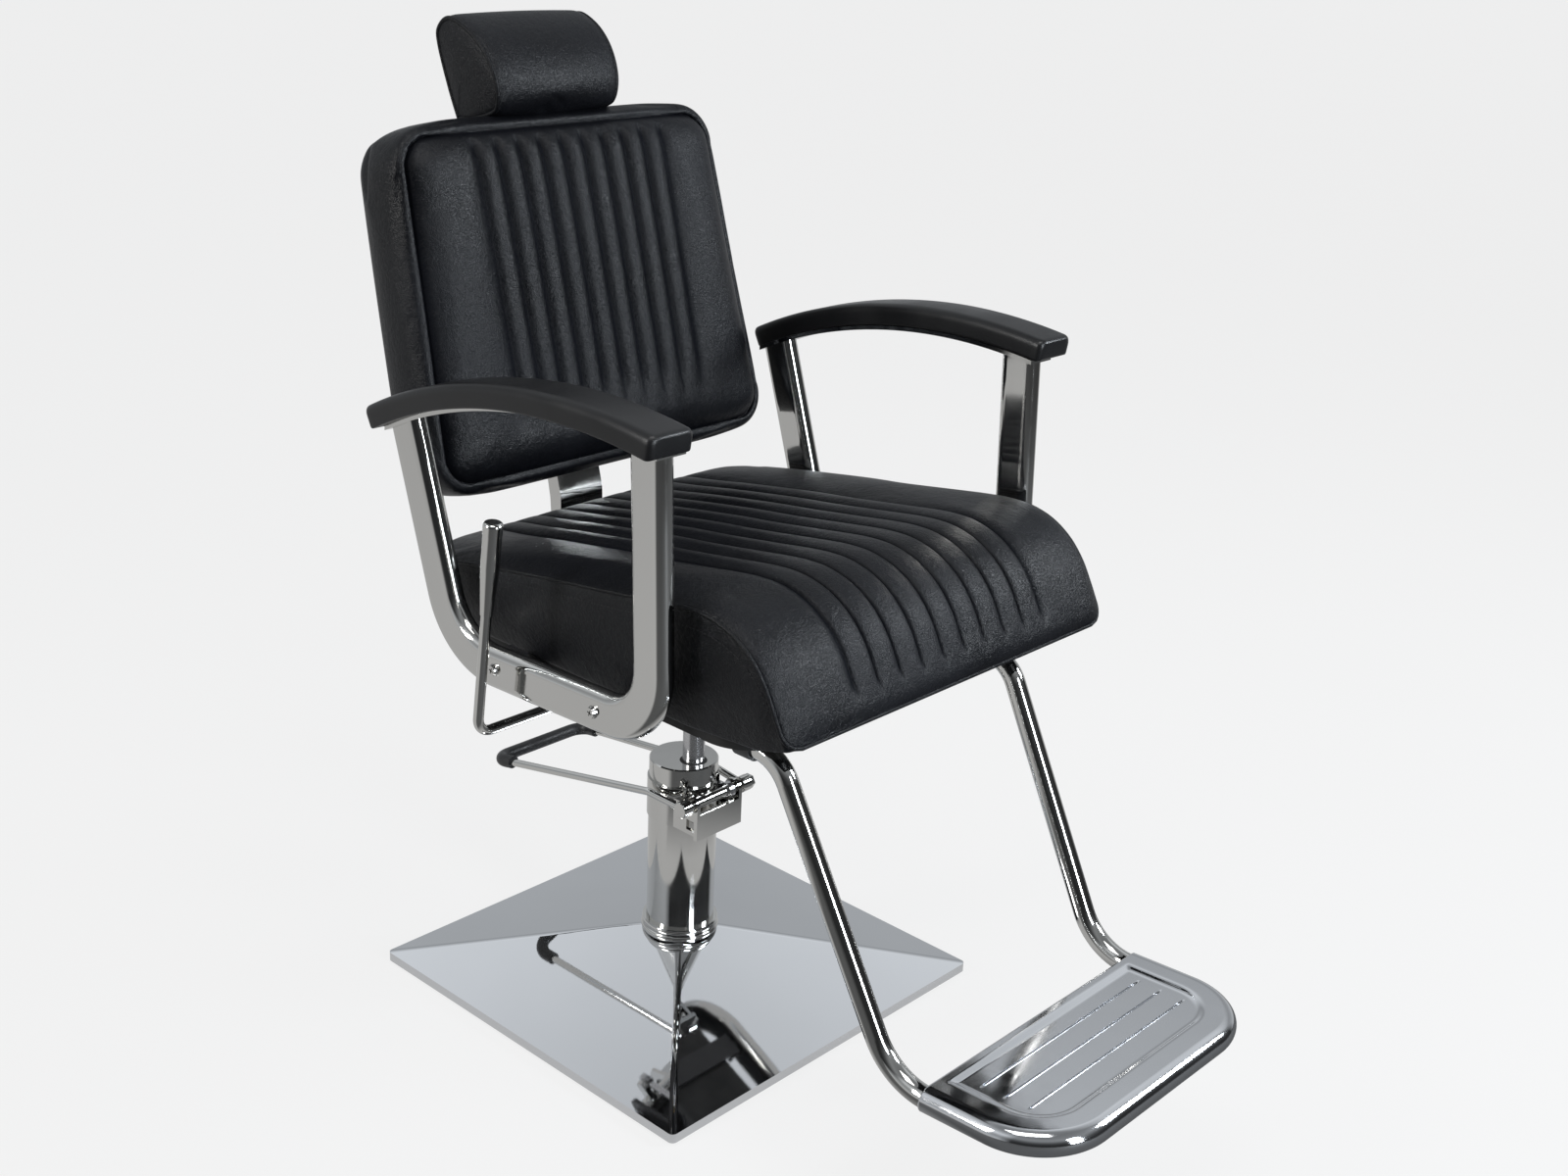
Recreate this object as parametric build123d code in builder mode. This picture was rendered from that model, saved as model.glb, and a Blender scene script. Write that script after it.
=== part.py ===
"""Hydraulic barber chair: pedal pump column, reclining back, sliding headrest, footrest.

Millimetres, +Z up, the sitter faces -Y and the release lever is on the sitter's right (-X).
The origin is on the floor, at the middle of the square base and on the column's axis.
"""
from build123d import *
import os
from math import cos, radians, sin, sqrt, tan

# ---------------------------------------------------------------- driving dimensions
GAP = 0.3                    # clearance between faces that move past each other
FIT = 0.05                   # radial clearance of a running fit

# base
base_side = 540.0
pad_height = 3.0
rim_height = 12.0
cover_wall = 2.0
cover_peak = 65.0            # height of the cover where the trim ring sits on it
cover_top_side = 72.0
weight_side = 500.0
weight_thick = 10.0
flange_side = 150.0
flange_thick = 8.0

# column and pump
column_diameter = 88.0
column_wall = 3.0
cap_top = 310.0
ring_diameter = 102.0
shaft_diameter = 28.0
shaft_y = -17.0              # the piston stands forward of the column's axis
cylinder_diameter = 38.0
cylinder_bore = 32.0
plunger_x = 26.0
plunger_y = -22.0
plunger_diameter = 8.0
barrel_diameter = 13.4

# pedal
axle_diameter = 14.0
axle_y = -53.0
axle_z = 272.0
pedal_rod = 10.0
pedal_reach = 285.0          # y of the end bar
pedal_low = 226.0            # z of the end bar
grip_diameter = 17.0

# seat
seat_half = 273.0
seat_bottom = 530.0
seat_rear = 185.0
seat_rear_corner = 75.0
board_thick = 14.0
bar_thick = 6.0
plate_thick = 5.0
hub_bottom = 433.0
rail_x = 97.0
rail_thick = 6.0
rail_bottom = 470.0

# arms
arm_x = 304.0
arm_tube_deep = 50.0
arm_tube_wide = 25.0
arm_tube_wall = 2.0
pad_x = 314.5
pad_width = 61.0
pad_thick = 26.0
strip_thick = 5.0
pad_radius = 780.0
pad_crest_y = -170.0
pad_crest_z = 870.0
pad_front = -292.0
pad_rear = 190.0

# backrest, measured on a plane that leans back from the seat
lean = 15.2
back_origin_y = 132.0
back_origin_z = 673.0
back_height = 420.0
back_half_bottom = 268.0
back_half_top = 246.0
back_corner = 45.0
back_crown = 22.0
back_cushion_deep = 68.0
back_board_thick = 12.0
back_cover_deep = 17.0
bracket_thick = 6.0
bracket_width = 70.0

# recline hinge, strut and release lever
hinge_y = 150.0
hinge_z = 494.0
hinge_pin = 12.0
crank_radius = 30.0
crank_trail = 20.0           # degrees behind straight down when the back is upright
strut_x = -66.0
strut_z = 465.0
strut_diameter = 26.0
strut_rod = 10.0
lever_y = -21.0
lever_z = 456.0
lever_x = -345.0
lever_rod = 12.0
lever_lean = 7.2
lever_length = 256.0

# headrest
head_half = 104.0
head_bar_wide = 40.0
head_bar_thick = 6.0

# footrest
foot_tube = 25.0
foot_half = 189.0
foot_front = -722.0
foot_rise = 3.0              # degrees up towards the front
foot_rear_z = 177.0
foot_corner_y = -515.0
foot_bend = 78.0
plate_sheet = 2.5

os.makedirs("parts", exist_ok=True)


def finish(piece, node):
    """Label a finished piece and write it as its own STEP file."""
    piece.part.label = node
    export_step(piece.part, f"parts/{node}.step")


def across(x):
    """Side-view plane at x: local x is the world's Y and local y is the world's Z."""
    return Plane(origin=(x, 0, 0), x_dir=(0, 1, 0), z_dir=(1, 0, 0))


def on_back(depth=0.0):
    """Plane of the backrest, `depth` behind the front seam: local y runs up the back."""
    plane = Plane(
        origin=(0, back_origin_y, back_origin_z),
        x_dir=(1, 0, 0),
        z_dir=(0, -cos(radians(lean)), sin(radians(lean))),
    )
    return plane.offset(-depth)


def back_point(up, depth):
    """World (y, z) of a point `up` along the backrest and `depth` behind its front seam."""
    y = back_origin_y + up * sin(radians(lean)) + depth * cos(radians(lean))
    z = back_origin_z + up * cos(radians(lean)) - depth * sin(radians(lean))
    return (y, z)


# ================================================================ base
# Five rubber discs under the weight plate are all that touches the floor.
with BuildPart() as floor_pads:
    with BuildSketch(Plane.XY):
        with GridLocations(430, 430, 2, 2):
            Circle(22)
        Circle(40)
    extrude(amount=pad_height)
finish(floor_pads, "floor_pads")

weight_top = pad_height + weight_thick
with BuildPart() as base_weight_plate:
    with BuildSketch(Plane.XY.offset(pad_height)):
        RectangleRounded(weight_side, weight_side, 14)
        with GridLocations(120, 120, 2, 2):
            Circle(4.2, mode=Mode.SUBTRACT)
    extrude(amount=weight_thick)
finish(base_weight_plate, "base_weight_plate")

with BuildPart() as column_flange:
    with BuildSketch(Plane.XY.offset(weight_top)):
        RectangleRounded(flange_side, flange_side, 10)
        with GridLocations(120, 120, 2, 2):
            Circle(5.5, mode=Mode.SUBTRACT)
    extrude(amount=flange_thick)
finish(column_flange, "column_flange")

with BuildPart() as flange_bolts:
    with BuildSketch(Plane.XY.offset(weight_top + flange_thick)):
        with GridLocations(120, 120, 2, 2):
            RegularPolygon(9, 6)
    extrude(amount=6)
    with BuildSketch(Plane.XY.offset(weight_top + flange_thick)):
        with GridLocations(120, 120, 2, 2):
            Circle(4)
    extrude(amount=-(flange_thick + 8))
finish(flange_bolts, "flange_bolts")

# The pressed cover is a low four-sided pyramid over a short upright rim.
rim_top = pad_height + rim_height
cover_inside = base_side - 2 * cover_wall
with BuildPart() as base_cover:
    with BuildSketch(Plane.XY.offset(pad_height)):
        RectangleRounded(base_side, base_side, 7)
    extrude(amount=rim_height)
    with BuildSketch(Plane.XY.offset(rim_top)):
        RectangleRounded(base_side, base_side, 7)
    with BuildSketch(Plane.XY.offset(cover_peak)):
        RectangleRounded(cover_top_side, cover_top_side, 7)
    loft(ruled=True)
    with BuildSketch(Plane.XY.offset(pad_height)):
        RectangleRounded(cover_inside, cover_inside, 5)
    extrude(amount=rim_height - cover_wall, mode=Mode.SUBTRACT)
    with BuildSketch(Plane.XY.offset(rim_top - cover_wall)):
        RectangleRounded(cover_inside, cover_inside, 5)
    with BuildSketch(Plane.XY.offset(cover_peak - cover_wall)):
        RectangleRounded(cover_top_side - 4, cover_top_side - 4, 5)
    loft(ruled=True, mode=Mode.SUBTRACT)
    with BuildSketch(Plane.XY):
        Circle(column_diameter / 2 + 1)
    extrude(amount=cover_peak + 1, mode=Mode.SUBTRACT)
finish(base_cover, "base_cover")

# ================================================================ column
# The trim ring closes the joint between cover and column with two round beads.
ring_radius = ring_diameter / 2
with BuildPart() as column_ring:
    with BuildSketch(Plane.XZ) as ring_section:
        with Locations((column_diameter / 2 + FIT, cover_peak)):
            Rectangle(4.5, 18, align=(Align.MIN, Align.MIN))
        with Locations((ring_radius - 5, cover_peak + 5), (ring_radius - 6, cover_peak + 13.5)):
            Circle(4.5)
        with Locations((ring_radius - 4, cover_peak)):
            Rectangle(30, 30, align=(Align.MIN, Align.MAX), mode=Mode.SUBTRACT)
        with Locations((column_diameter / 2 + FIT, cover_peak)):
            Rectangle(20, 60, align=(Align.MAX, Align.CENTER), mode=Mode.SUBTRACT)
    revolve(axis=Axis.Z)
finish(column_ring, "column_ring")

tube_foot = weight_top + flange_thick
tube_top = cap_top - 5
window_low = axle_z - 30
with BuildPart() as column_tube:
    with BuildSketch(Plane.XY.offset(tube_foot)):
        Circle(column_diameter / 2)
        Circle(column_diameter / 2 - column_wall, mode=Mode.SUBTRACT)
    extrude(amount=tube_top - tube_foot)
    # the window that the rocker reaches through
    with BuildSketch(Plane.XZ.offset(-plunger_y)):
        with Locations((plunger_x, window_low)):
            Rectangle(16, 46, align=(Align.CENTER, Align.MIN))
    extrude(amount=column_diameter, mode=Mode.SUBTRACT)
finish(column_tube, "column_tube")

with BuildPart() as column_cap:
    with BuildSketch(Plane.XY.offset(tube_top)):
        Circle(column_diameter / 2)
    extrude(amount=cap_top - tube_top)
    chamfer(column_cap.edges().group_by(Axis.Z)[-1], 1.5)
    with BuildSketch(Plane.XY.offset(tube_top)):
        with Locations((0, shaft_y)):
            Circle(shaft_diameter / 2 + 3.5)
    extrude(amount=cap_top - tube_top, mode=Mode.SUBTRACT)
finish(column_cap, "column_cap")

# A rubber wiper lies round the shaft in the cap's hole.
with BuildPart() as shaft_wiper:
    with BuildSketch(Plane.XY.offset(tube_top)):
        with Locations((0, shaft_y)):
            Circle(shaft_diameter / 2 + 3.5)
            Circle(shaft_diameter / 2 + 0.1, mode=Mode.SUBTRACT)
    extrude(amount=cap_top - tube_top)
finish(shaft_wiper, "shaft_wiper")

# ================================================================ pump
cylinder_top = 290.0
gland_height = 24.0
cylinder_floor = tube_foot + 8
with BuildPart() as lift_cylinder:
    with BuildSketch(Plane.XY.offset(tube_foot)):
        with Locations((0, shaft_y)):
            Circle(cylinder_diameter / 2)
    extrude(amount=cylinder_top - tube_foot)
    with BuildSketch(Plane.XY.offset(cylinder_floor)):
        with Locations((0, shaft_y)):
            Circle(cylinder_bore / 2)
    extrude(amount=cylinder_top - cylinder_floor, mode=Mode.SUBTRACT)
finish(lift_cylinder, "lift_cylinder")

with BuildPart() as shaft_gland:
    with BuildSketch(Plane.XY.offset(cylinder_top - gland_height)):
        with Locations((0, shaft_y)):
            Circle(cylinder_bore / 2)
            Circle(shaft_diameter / 2 + FIT, mode=Mode.SUBTRACT)
    extrude(amount=gland_height)
finish(shaft_gland, "shaft_gland")

barrel_foot = 150.0
barrel_top = 236.0
plunger_foot = 172.0
plunger_top = 266.0
plunger_head = 5.0
with BuildPart() as pump_barrel:
    with BuildSketch(Plane.XY.offset(barrel_foot)):
        with Locations((plunger_x, plunger_y)):
            Circle(barrel_diameter / 2)
    extrude(amount=barrel_top - barrel_foot)
    with BuildSketch(Plane.XY.offset(barrel_foot + 8)):
        with Locations((plunger_x, plunger_y)):
            Circle(plunger_diameter / 2 + FIT)
    extrude(amount=barrel_top - barrel_foot, mode=Mode.SUBTRACT)
    # the oil passage block that carries the barrel on the cylinder
    with BuildSketch(Plane.XY.offset(barrel_foot)):
        with BuildLine():
            Polyline(
                (plunger_x - 3, plunger_y - 4), (plunger_x - 3, plunger_y + 5),
                (cylinder_diameter / 2 - 5, shaft_y + 8), (cylinder_diameter / 2 - 5, shaft_y - 8),
                close=True,
            )
        make_face()
        with Locations((0, shaft_y)):
            Circle(cylinder_diameter / 2 + 0.02, mode=Mode.SUBTRACT)
    extrude(amount=8)
finish(pump_barrel, "pump_barrel")

with BuildPart() as pump_plunger:
    with BuildSketch(Plane.XY.offset(plunger_foot)):
        with Locations((plunger_x, plunger_y)):
            Circle(plunger_diameter / 2)
    extrude(amount=plunger_top - plunger_foot)
    with BuildSketch(Plane.XY.offset(plunger_top - plunger_head)):
        with Locations((plunger_x, plunger_y)):
            Circle(6.2)
    extrude(amount=plunger_head)
finish(pump_plunger, "pump_plunger")

spring_wire = 1.1
spring_radius = 5.0
spring_low = barrel_top + spring_wire / 2 + 0.1
spring_high = plunger_top - plunger_head - spring_wire / 2 - 0.1
with BuildPart() as plunger_spring:
    with BuildLine() as spring_path:
        Helix(
            pitch=(spring_high - spring_low) / 6,
            height=spring_high - spring_low,
            radius=spring_radius,
            center=(plunger_x, plunger_y, spring_low),
        )
    with BuildSketch(Plane(origin=spring_path.line @ 0, z_dir=spring_path.line % 0)):
        Circle(spring_wire / 2)
    sweep()
finish(plunger_spring, "plunger_spring")

# The bracket wraps the top of the column and carries the axle in two cheeks, with a
# thick plate across its front.
bracket_low = 232.0
bracket_high = 262.0
cheek_x = 37.0
cheek_thick = 5.0
front_plate_y = -66.0
front_plate_thick = 6.0
wrap_radius = column_diameter / 2 + 2
with BuildPart() as pedal_bracket:
    with BuildSketch(Plane.XY.offset(bracket_low)):
        Circle(wrap_radius)
        Circle(column_diameter / 2 + FIT, mode=Mode.SUBTRACT)
    extrude(amount=bracket_high + 22 - bracket_low)
    for side in (-1, 1):
        with BuildSketch(across(side * cheek_x - cheek_thick / 2)):
            with BuildLine():
                Polyline(
                    (-20, bracket_low), (front_plate_y, bracket_low),
                    (front_plate_y, axle_z), (-20, axle_z),
                    close=True,
                )
            make_face()
            with Locations((axle_y, axle_z)):
                Circle(13)
                Circle(axle_diameter / 2 + FIT, mode=Mode.SUBTRACT)
            with Locations((axle_y - 0.5, bracket_low + 13)):
                Rectangle(13, 14, mode=Mode.SUBTRACT)
        extrude(amount=cheek_thick)
    with BuildSketch(Plane.XY.offset(bracket_low - 5)):
        with Locations((0, front_plate_y)):
            Rectangle(79, front_plate_thick, align=(Align.CENTER, Align.MIN))
    extrude(amount=bracket_high + 5 - bracket_low)
    with BuildSketch(Plane.XY):
        Circle(column_diameter / 2 + FIT)
    extrude(amount=400, mode=Mode.SUBTRACT)
    with BuildSketch(Plane.XZ.offset(-plunger_y)):
        with Locations((plunger_x, window_low)):
            Rectangle(16, 60, align=(Align.CENTER, Align.MIN))
    extrude(amount=-plunger_y + 3.0, mode=Mode.SUBTRACT)
    # room for the axle between the cheeks
    with BuildSketch(across(cheek_thick / 2 - cheek_x)):
        with Locations((axle_y, axle_z)):
            Circle(axle_diameter / 2 + 1)
    extrude(amount=2 * cheek_x - cheek_thick, mode=Mode.SUBTRACT)
finish(pedal_bracket, "pedal_bracket")

# ================================================================ pedal
hub_near = -58.0
hub_far = 47.0
hub_length = 15.0
axle_end = 64.0
with BuildPart() as pedal_axle:
    with BuildSketch(across(hub_near + hub_length)):
        with Locations((axle_y, axle_z)):
            Circle(axle_diameter / 2)
    extrude(amount=axle_end - hub_near - hub_length)
    chamfer(pedal_axle.edges().group_by(Axis.X)[-1], 1)
finish(pedal_axle, "pedal_axle")

# one hub is closed at its outer end, the other is bored through for the nut
with BuildPart() as pedal_hubs:
    for hub_x in (hub_near, hub_far):
        with BuildSketch(across(hub_x)):
            with Locations((axle_y, axle_z)):
                Circle(10.5)
        extrude(amount=hub_length)
    chamfer(pedal_hubs.edges(), 1)
    with BuildSketch(across(hub_far)):
        with Locations((axle_y, axle_z)):
            Circle(axle_diameter / 2 + 0.02)
    extrude(amount=hub_length, mode=Mode.SUBTRACT)
finish(pedal_hubs, "pedal_hubs")

# A hexagon nut holds the far hub on the axle.
with BuildPart() as axle_nut:
    with BuildSketch(across(hub_far + hub_length + 0.1)):
        with Locations((axle_y, axle_z)):
            RegularPolygon(10, 6)
            Circle(axle_diameter / 2 + 0.02, mode=Mode.SUBTRACT)
    extrude(amount=axle_end - hub_far - hub_length - 3 + 6)
finish(axle_nut, "axle_nut")

rocker_width = 8.0
rocker_tip_y = plunger_y
with BuildPart() as pump_rocker:
    with BuildSketch(across(plunger_x - rocker_width / 2)):
        with BuildLine():
            Polyline(
                (axle_y, axle_z + 8), (rocker_tip_y - 3, axle_z + 4), (rocker_tip_y + 3, axle_z + 1),
                (rocker_tip_y + 3, plunger_top + 2.5), (rocker_tip_y, plunger_top + GAP),
                (rocker_tip_y - 3, plunger_top + 2.5), (axle_y, axle_z - 8),
                close=True,
            )
        make_face()
        with Locations((axle_y, axle_z)):
            Circle(11)
            Circle(axle_diameter / 2 + 0.02, mode=Mode.SUBTRACT)
    extrude(amount=rocker_width)
finish(pump_rocker, "pump_rocker")


def pedal_route():
    """Centre line of the pedal loop, from the near hub round the end bar to the far hub."""
    near = hub_near + hub_length / 2
    far = hub_far + hub_length / 2
    start = axle_y + 11.2
    return FilletPolyline(
        (near, start, axle_z), (near - 4, 6, axle_z + 3),
        (near - 24, pedal_reach, pedal_low), (far + 24, pedal_reach, pedal_low),
        (far + 3, 6, axle_z + 3), (far, start, axle_z),
        radius=(28, 20, 20, 28),
    )


with BuildPart() as pedal_loop:
    with BuildLine() as loop_path:
        pedal_route()
    with BuildSketch(Plane(origin=loop_path.line @ 0, z_dir=loop_path.line % 0)):
        Circle(pedal_rod / 2)
    sweep()
finish(pedal_loop, "pedal_loop")

# The rubber sleeve covers the end bar, both corners and a little of each side rod.
with BuildPart() as pedal_grip:
    with BuildLine() as grip_path:
        pedal_route()
    with BuildSketch(Plane(origin=grip_path.line @ 0, z_dir=grip_path.line % 0)):
        Circle(grip_diameter / 2)
        Circle(pedal_rod / 2 + 0.05, mode=Mode.SUBTRACT)
    sweep()
    with BuildSketch(Plane.XY.offset(150)):
        with Locations((0, -100)):
            Rectangle(400, 100 + pedal_reach - 34, align=(Align.CENTER, Align.MIN))
    extrude(amount=200, mode=Mode.SUBTRACT)
finish(pedal_grip, "pedal_grip")

# ================================================================ piston
piston_foot = 145.0
piston_height = 26.0
shaft_top = 498.0
collar_low = 422.0
# One turned bar: the piston head below, the shaft, and the collar under the seat.
with BuildPart() as piston_shaft:
    with BuildSketch(Plane.XY.offset(piston_foot)):
        with Locations((0, shaft_y)):
            Circle(cylinder_bore / 2 - FIT)
    extrude(amount=piston_height)
    with BuildSketch(Plane.XY.offset(piston_foot + 9)):
        with Locations((0, shaft_y)):
            Circle(cylinder_bore / 2 + 1)
            Circle(cylinder_bore / 2 - 3, mode=Mode.SUBTRACT)
    extrude(amount=6, mode=Mode.SUBTRACT)
    with BuildSketch(Plane.XY.offset(piston_foot + piston_height)):
        with Locations((0, shaft_y)):
            Circle(shaft_diameter / 2)
    extrude(amount=shaft_top - piston_foot - piston_height)
    chamfer(piston_shaft.edges().group_by(Axis.Z)[-1], 2)
    with BuildSketch(Plane.XY.offset(collar_low)):
        with Locations((0, shaft_y)):
            Circle(24)
    extrude(amount=8)
finish(piston_shaft, "piston_shaft")

with BuildPart() as piston_seal:
    with BuildSketch(Plane.XY.offset(piston_foot + 9)):
        with Locations((0, shaft_y)):
            Circle(cylinder_bore / 2 - FIT / 2)
            Circle(cylinder_bore / 2 - 3, mode=Mode.SUBTRACT)
    extrude(amount=6)
finish(piston_seal, "piston_seal")

# ================================================================ seat frame
hub_radius = 30.0
bush_radius = 18.0
board_bottom = seat_bottom - board_thick
bar_bottom = board_bottom - bar_thick
plate_bottom = bar_bottom - plate_thick
with BuildPart() as swivel_hub:
    with BuildSketch(Plane.XY.offset(hub_bottom)):
        with Locations((0, shaft_y)):
            Circle(hub_radius)
            Circle(bush_radius, mode=Mode.SUBTRACT)
    extrude(amount=plate_bottom - hub_bottom)
    chamfer(swivel_hub.edges().group_by(Axis.Z)[0], 1)
finish(swivel_hub, "swivel_hub")

with BuildPart() as swivel_bush:
    with BuildSketch(Plane.XY.offset(hub_bottom)):
        with Locations((0, shaft_y)):
            Circle(bush_radius)
            Circle(shaft_diameter / 2 + FIT, mode=Mode.SUBTRACT)
    extrude(amount=plate_bottom - hub_bottom)
finish(swivel_bush, "swivel_bush")

with BuildPart() as thrust_washer:
    with BuildSketch(Plane.XY.offset(hub_bottom - 2)):
        with Locations((0, shaft_y)):
            Circle(25)
            Circle(shaft_diameter / 2 + FIT, mode=Mode.SUBTRACT)
    extrude(amount=2)
finish(thrust_washer, "thrust_washer")

plate_front = -212.0
plate_rear = 140.0
rail_front = -120.0
rail_rear = 166.0
with BuildPart() as seat_frame:
    with BuildSketch(Plane.XY.offset(plate_bottom)):
        with Locations((0, (plate_front + plate_rear) / 2)):
            RectangleRounded(260, plate_rear - plate_front, 12)
    extrude(amount=plate_thick)
    for side in (-1, 1):
        with BuildSketch(across(side * rail_x - rail_thick / 2)):
            with BuildLine():
                Polyline(
                    (rail_front + 30, rail_bottom), (rail_rear - 8, rail_bottom),
                    (rail_rear, rail_bottom + 8), (rail_rear, plate_bottom + plate_thick),
                    (rail_front, plate_bottom + plate_thick), (rail_front, plate_bottom - 6),
                    close=True,
                )
            make_face()
            with Locations((hinge_y, hinge_z)):
                Circle(hinge_pin / 2 + FIT, mode=Mode.SUBTRACT)
        extrude(amount=rail_thick)
    # two rings hang from the plate and hold the strut
    for y in (6.0, 66.0):
        with BuildSketch(Plane.XZ.offset(-y)):
            with Locations((strut_x, strut_z)):
                Circle(strut_diameter / 2 + 5)
            with Locations((strut_x, plate_bottom)):
                Rectangle(26, plate_bottom - strut_z, align=(Align.CENTER, Align.MAX))
            with Locations((strut_x, strut_z)):
                Circle(strut_diameter / 2 + FIT, mode=Mode.SUBTRACT)
        extrude(amount=-8)
    # two more are the bearings of the release lever
    for x in (-128.0, -90.0):
        with BuildSketch(across(x)):
            with Locations((lever_y, lever_z)):
                Circle(lever_rod / 2 + 6)
            with Locations((lever_y, plate_bottom)):
                Rectangle(24, plate_bottom - lever_z, align=(Align.CENTER, Align.MAX))
            with Locations((lever_y, lever_z)):
                Circle(lever_rod / 2 + FIT, mode=Mode.SUBTRACT)
        extrude(amount=-5)
finish(seat_frame, "seat_frame")

# Two flat bars run across under the board; their ends turn up beside the cushion and
# carry the arm frames on welded bosses.
crossbar_y = (-180.0, -16.0)
crossbar_screw_z = (529.0, 524.0)
tab_x = 280.0
boss_end = arm_x - arm_tube_wide / 2
with BuildPart() as seat_crossbars:
    for bar_y, screw_z in zip(crossbar_y, crossbar_screw_z):
        with BuildSketch(Plane.XY.offset(bar_bottom)):
            with Locations((0, bar_y)):
                Rectangle(2 * (tab_x + bar_thick), 36)
        extrude(amount=bar_thick)
        for side in (-1, 1):
            with BuildSketch(across(side * tab_x)):
                with Locations((bar_y, bar_bottom)):
                    Rectangle(30, 30, align=(Align.CENTER, Align.MIN))
            extrude(amount=side * bar_thick)
            with BuildSketch(across(side * tab_x)):
                with Locations((bar_y, screw_z)):
                    Circle(10)
            extrude(amount=side * (boss_end - tab_x))
            with BuildSketch(across(side * tab_x)):
                with Locations((bar_y, screw_z)):
                    Circle(4.1)
            extrude(amount=side * (boss_end - tab_x), mode=Mode.SUBTRACT)
finish(seat_crossbars, "seat_crossbars")

board_front = -355.0
board_rear = 168.0
with BuildPart() as seat_board:
    with BuildSketch(Plane.XY.offset(board_bottom)):
        with Locations((0, (board_front + board_rear) / 2)):
            RectangleRounded(2 * 258, board_rear - board_front, seat_rear_corner - 15)
    extrude(amount=board_thick)
finish(seat_board, "seat_board")

# The cushion falls to the rear and rolls over the front edge in a waterfall.
with BuildPart() as seat_cushion:
    with BuildSketch(across(-seat_half)):
        with BuildLine():
            Polyline(
                (-276, seat_bottom), (seat_rear, seat_bottom), (seat_rear, 598), (100, 622),
                (-60, 646), (-200, 664), (-290, 674),
            )
            Spline((-290, 674), (-350, 659), (-388, 620), (-421, 556), tangents=((-1, 0.08), (-0.35, -1)))
            Polyline((-421, 556), (-414, 546), (-375, 538), (-276, seat_bottom))
        make_face()
    extrude(amount=2 * seat_half)
    fillet(seat_cushion.edges().filter_by(Axis.Z).sort_by(Axis.Y)[-2:], seat_rear_corner)
finish(seat_cushion, "seat_cushion")

# ================================================================ arms
pad_centre_z = pad_crest_z - pad_radius
pad_underside = pad_radius - pad_thick
strip_underside = pad_underside - strip_thick
arm_route = ((-250.0, 836.0), (-262.0, 531.0), (64.0, 519.0), (146.0, 776.0))


def arc_height(radius, y):
    """Height at y of the arc that the arm pad and its strip follow."""
    return pad_centre_z + sqrt(radius**2 - (y - pad_crest_y) ** 2)


def arched_band(outer, inner, front, rear):
    """Side-view face between two of the arm's arcs, from y = front to y = rear."""
    middle = (front + rear) / 2
    with BuildSketch() as band:
        with BuildLine():
            top = ThreePointArc(
                (front, arc_height(outer, front)), (middle, arc_height(outer, middle)),
                (rear, arc_height(outer, rear)),
            )
            low = ThreePointArc(
                (front, arc_height(inner, front)), (middle, arc_height(inner, middle)),
                (rear, arc_height(inner, rear)),
            )
            Line(top @ 0, low @ 0)
            Line(top @ 1, low @ 1)
        make_face()
    return band.sketch


for side, hand in ((-1, "right"), (1, "left")):
    with BuildPart() as arm_frame:
        with BuildLine(across(side * arm_x)) as frame_path:
            FilletPolyline(*arm_route, radius=(65, 90))
        start = frame_path.line @ 0
        with BuildSketch(Plane(origin=start, x_dir=(1, 0, 0), z_dir=frame_path.line % 0)):
            SlotOverall(arm_tube_deep, arm_tube_wide, rotation=90)
            SlotOverall(
                arm_tube_deep - 2 * arm_tube_wall, arm_tube_wide - 2 * arm_tube_wall,
                rotation=90, mode=Mode.SUBTRACT,
            )
        sweep()
        with BuildSketch(across(side * arm_x - 20)):
            add(arched_band(strip_underside + 60, strip_underside, pad_front - 40, pad_rear + 40))
        extrude(amount=40, mode=Mode.SUBTRACT)
        for bar_y, screw_z in zip(crossbar_y, crossbar_screw_z):
            with BuildSketch(across(side * arm_x - 20)):
                with Locations((bar_y, screw_z)):
                    Circle(4.2)
            extrude(amount=40, mode=Mode.SUBTRACT)
    finish(arm_frame, f"arm_frame_{hand}")

    with BuildPart() as arm_strip:
        with BuildSketch(across(side * arm_x - 20)):
            add(arched_band(pad_underside, strip_underside, pad_front + 14, pad_rear - 26))
        extrude(amount=40)
    finish(arm_strip, f"arm_strip_{hand}")

    # the pad is arched along its length and narrower behind the elbow
    with BuildPart() as arm_pad:
        with BuildSketch(across(side * pad_x - pad_width / 2)):
            add(arched_band(pad_radius, pad_underside, pad_front, pad_rear))
        extrude(amount=pad_width)
        with BuildSketch(Plane.XY.offset(700)):
            with BuildLine():
                Polyline(
                    (side * pad_x - 30.5, -140), (side * pad_x - 30.5, pad_front),
                    (side * pad_x + 30.5, pad_front), (side * pad_x + 30.5, -140),
                    (side * pad_x + 21, pad_rear), (side * pad_x - 21, pad_rear),
                    close=True,
                )
            make_face()
        extrude(amount=200, mode=Mode.INTERSECT)
        fillet(arm_pad.edges().group_by(Axis.Y)[0].filter_by(Axis.Z), 14)
    finish(arm_pad, f"arm_pad_{hand}")

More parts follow.
